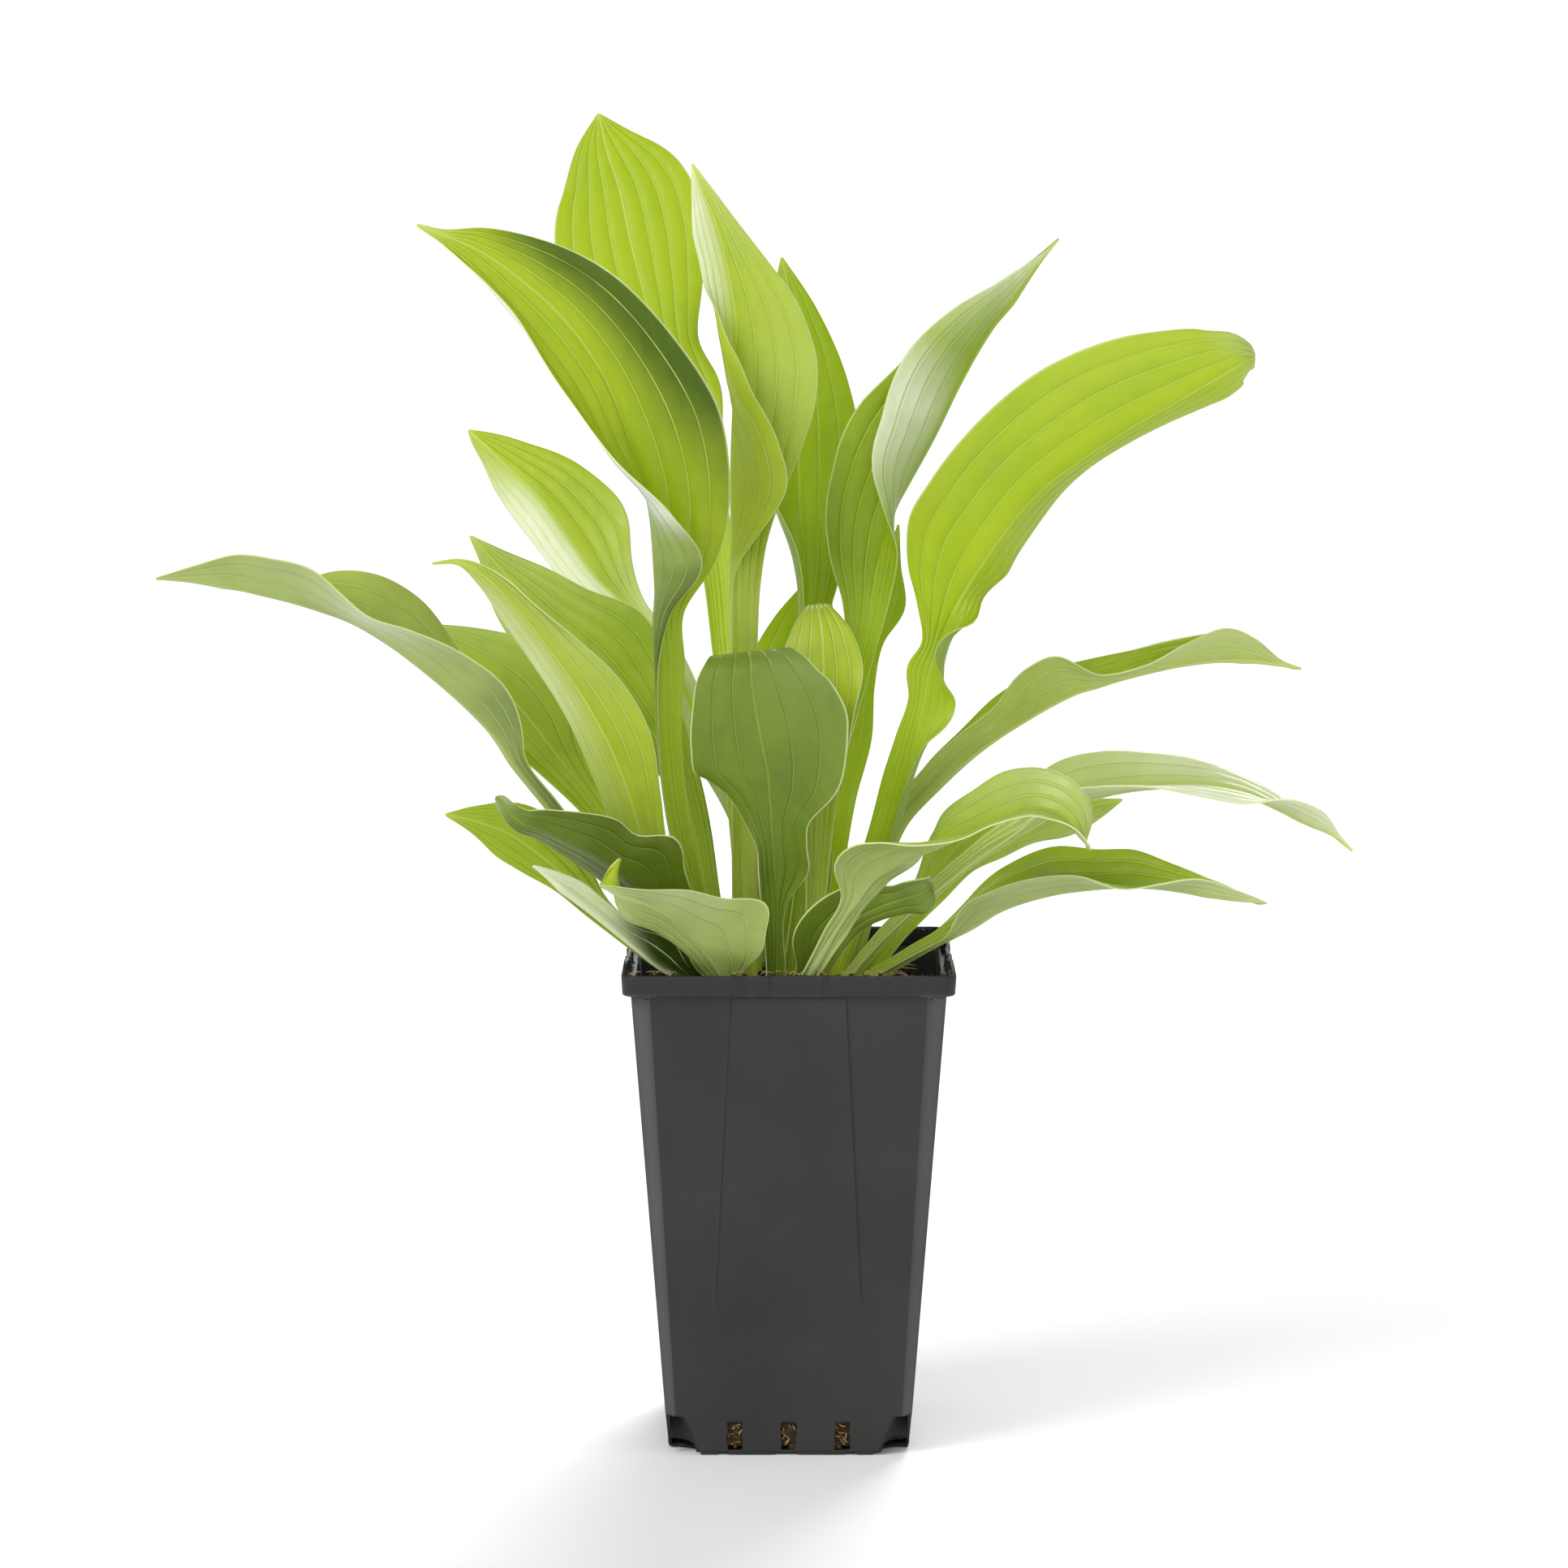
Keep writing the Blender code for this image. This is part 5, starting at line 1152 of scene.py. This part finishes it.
grow_leaf("leaf_low_front_right", -1, -30, "green", [
    (6.5, -44, 155, 3.5, 30, 60),
    (14, -46, 168.5, 4, 20, 50),
    (21, -48, 180, 6, 20, 45, 4.5, -20, -40),
    (25.5, -49, 186, 15, 20, 40, 8, -40, -60),
    (35, -50, 192, 16, 30, 48, 10, -50, -70),
    (47, -52, 197.5, 14, 50, 80, 13, -110, -120),
    (58, -54, 202.5, 12, 70, 90, 15, -125, -125),
    (68.5, -56, 207, 10, 70, 85, 16, -130, -125),
    (77.5, -58, 209.5, 7, 70, 90, 13, -130, -125),
    (85.5, -59, 206.5, 5, 60, 80, 10, -130, -120),
    (93.5, -60, 197),
], phase=5.4, glow=0.2, pillow=0.3,
   sheen_shade=((0, 0, 0), (0.5, 0.1, 0.15), (0.8, 0.3, 0.3)),
   back_sheen_shade=((0, 0, 0), (0.5, 0.1, 0.15), (0.8, 0.3, 0.3)))

grow_leaf("leaf_low_back_right", 1, 30, "green", [
    (26, -4, 149.5, 2.4),
    (35, -5, 162.5, 2.8),
    (46, -6, 176.5, 7, 0, 20, 5, 0, -30),
    (56, -8, 186.5, 14, 0, 10, 6, -30, -50),
    (67, -9, 193.5, 15, 0, 10, 8, -30, -50),
    (79, -10, 199, 10, 0, 10, 8, -30, -50),
    (90, -11, 202.5, 5, 0, 0, 7, 0, -20),
    (99, -12, 205, 2, 0, 0, 4, 0, 0),
    (106, -12, 206.5),
], phase=0.8, glow=0.3,
   sheen_shade=((0, 0, 0), (0.5, 0.15, 0.1), (0.8, 0.3, 0.3)))

grow_leaf("leaf_long_right", -1, 5, "olive", [
    (20, -12, 150, 2.6, 70, 90, 2.8, -150, -150),
    (33, -15, 166, 2.8, 90, 100, 3, -150, -150),
    (48, -18, 180, 3, 95, 105, 3.2, -160, -150),
    (62, -20, 191.5, 3.6, 95, 110, 4, -160, -150),
    (75, -22, 199, 6, 70, 80, 8, -140, -140),
    (87, -24, 205.5, 12, 50, 55, 18, -135, -120),
    (100, -26, 210, 10, 60, 65, 19, -130, -120),
    (114, -28, 212.5, 8, 70, 95, 15, -130, -120),
    (129, -30, 213.5, 8, 90, 130, 12, -120, -110),
    (142.5, -31, 211.5, 8, 100, 110, 10, -110, -100),
    (154, -32, 207, 9, 60, 60, 9, -100, -100),
    (165, -33, 201.5, 7, 40, 40, 5, -90, -90),
    (171.5, -33, 198, 1.5, 20, 20, 1.5, -60, -60),
    (177, -33, 193),
], back="olive", phase=2.5, glow=0.25,
   sheen_shade=((0, 0, 0), (0.5, 0.3, 0.25), (0.7, 0.7, 0.5), (1, 0.6, 0.6)),
   back_sheen_shade=((0, 0, 0), (0.5, 0.3, 0.25), (0.7, 0.7, 0.6), (1, 0.6, 0.6)))

grow_leaf("leaf_upper_right", -1, 45, "green", [
    (20.5, 13, 148.5, 3.2, 40, 60, 3.2, -120, -120),
    (28, 11, 175, 3.8, 40, 60, 3.8, -120, -120),
    (37, 7, 198, 6, 20, 40, 5, -130, -130),
    (47, 2, 209, 8, 20, 30, 8, -140, -140),
    (59, -4, 220.5, 10, 30, 30, 10, -140, -135),
    (70.5, -9, 229, 11, 30, 30, 14, -135, -135),
    (82, -13, 236.5, 17, 20, 40, 14, -135, -130),
    (89.5, -14, 240.5, 15, 20, 30, 12, -135, -130),
    (98, -15, 244, 6, 50, 60, 10, -140, -130),
    (111, -16, 248, 5, 60, 80, 8, -150, -140),
    (125, -17, 251, 8, 40, 40, 10, -140, -130),
    (138, -18, 252, 11, 20, 30, 10, -140, -130),
    (146, -18, 252, 7, 20, 20, 6, -140, -130),
    (155, -19, 250.5, 1.5, 20, 20, 1.5, -120, -120),
    (161.5, -19, 249),
], back="olive", phase=4.2, glow=0.25,
   back_sheen_shade=((0.5, 0, 0), (0.7, 0.3, 0.25), (1, 0.25, 0.25)))

grow_leaf("leaf_lowest_right", -1, -25, "green", [
    (29, -24, 153, 2.4, 80, 90, 2.4, -150, -150),
    (39.5, -28, 160, 2.4, 90, 100, 2.6, -150, -150),
    (48, -31, 165.2, 2.8, 90, 100, 3.2, -150, -140),
    (57, -33, 169.5, 8, 40, 50, 8, -140, -140),
    (69, -36, 176, 12.5, 45, 45, 15, -130, -130),
    (83, -39, 180.5, 11.5, 45, 45, 17, -135, -130),
    (95.5, -41, 182.5, 10.5, 50, 60, 14, -130, -130),
    (107, -43, 183.5, 9, 70, 90, 12.5, -130, -130),
    (118, -44, 183.5, 8, 60, 70, 8, -130, -130),
    (128, -45, 182.5, 7, 40, 40, 5.5, -120, -120),
    (140, -46, 180, 3, 20, 20, 3, -100, -100),
    (149, -47, 178.5),
], phase=5.9, glow=0.2,
   back_sheen_shade=((0, 0, 0), (0.4, 0.1, 0), (0.8, 0.25, 0.1), (1, 0.3, 0.2)))

grow_leaf("leaf_back_centre", 1, 45, "green", [
    (-5, 28, 147, 3),
    (-9, 31, 178, 5, 10, 40),
    (-9, 34, 199, 11, 0, 20, 9, 0, 20),
    (-5, 37, 219, 15, 0, 10, 13, 0, 10),
    (0, 39, 239, 15, 0, 10, 13, 0, 10),
    (5, 41, 256, 11, 0, 5, 10, 0, 5),
    (9, 43, 269, 5, 0, 0),
    (11, 44, 278),
], phase=1.3, glow=0.4)

grow_leaf("leaf_back_right", 1, 45, "green", [
    (10, 15, 148, 3),
    (13, 18, 180, 5, 10, 40),
    (16, 20, 204, 7, 0, 20, 6, 0, 30),
    (20, 22, 223, 8, 0, 10, 7, 0, 10),
    (23, 24, 240, 8, 0, 10, 5, 0, 10),
    (27, 26, 254, 6, 0, 0, 4, 0, 0),
    (31, 27, 266, 5, 0, 0, 7, 0, 0),
    (34, 28, 278, 3, 0, 0, 2.5, 0, 0),
    (35.5, 29, 291),
], veins=2, phase=3.0, glow=0.4)

grow_leaf("leaf_low_back", 1, 3, "green", [
    (-4, 7, 149, 3),
    (0, 8, 163, 9, 0, 20, 8, 0, 20),
    (2, 9, 177, 12, 0, 10, 11.5, 0, 10),
    (2.5, 10, 190, 10, 0, 10, 11, 0, 10),
    (3, 10, 202, 5, 0, 0),
    (3.5, 10, 211),
], phase=4.7, glow=0.3)
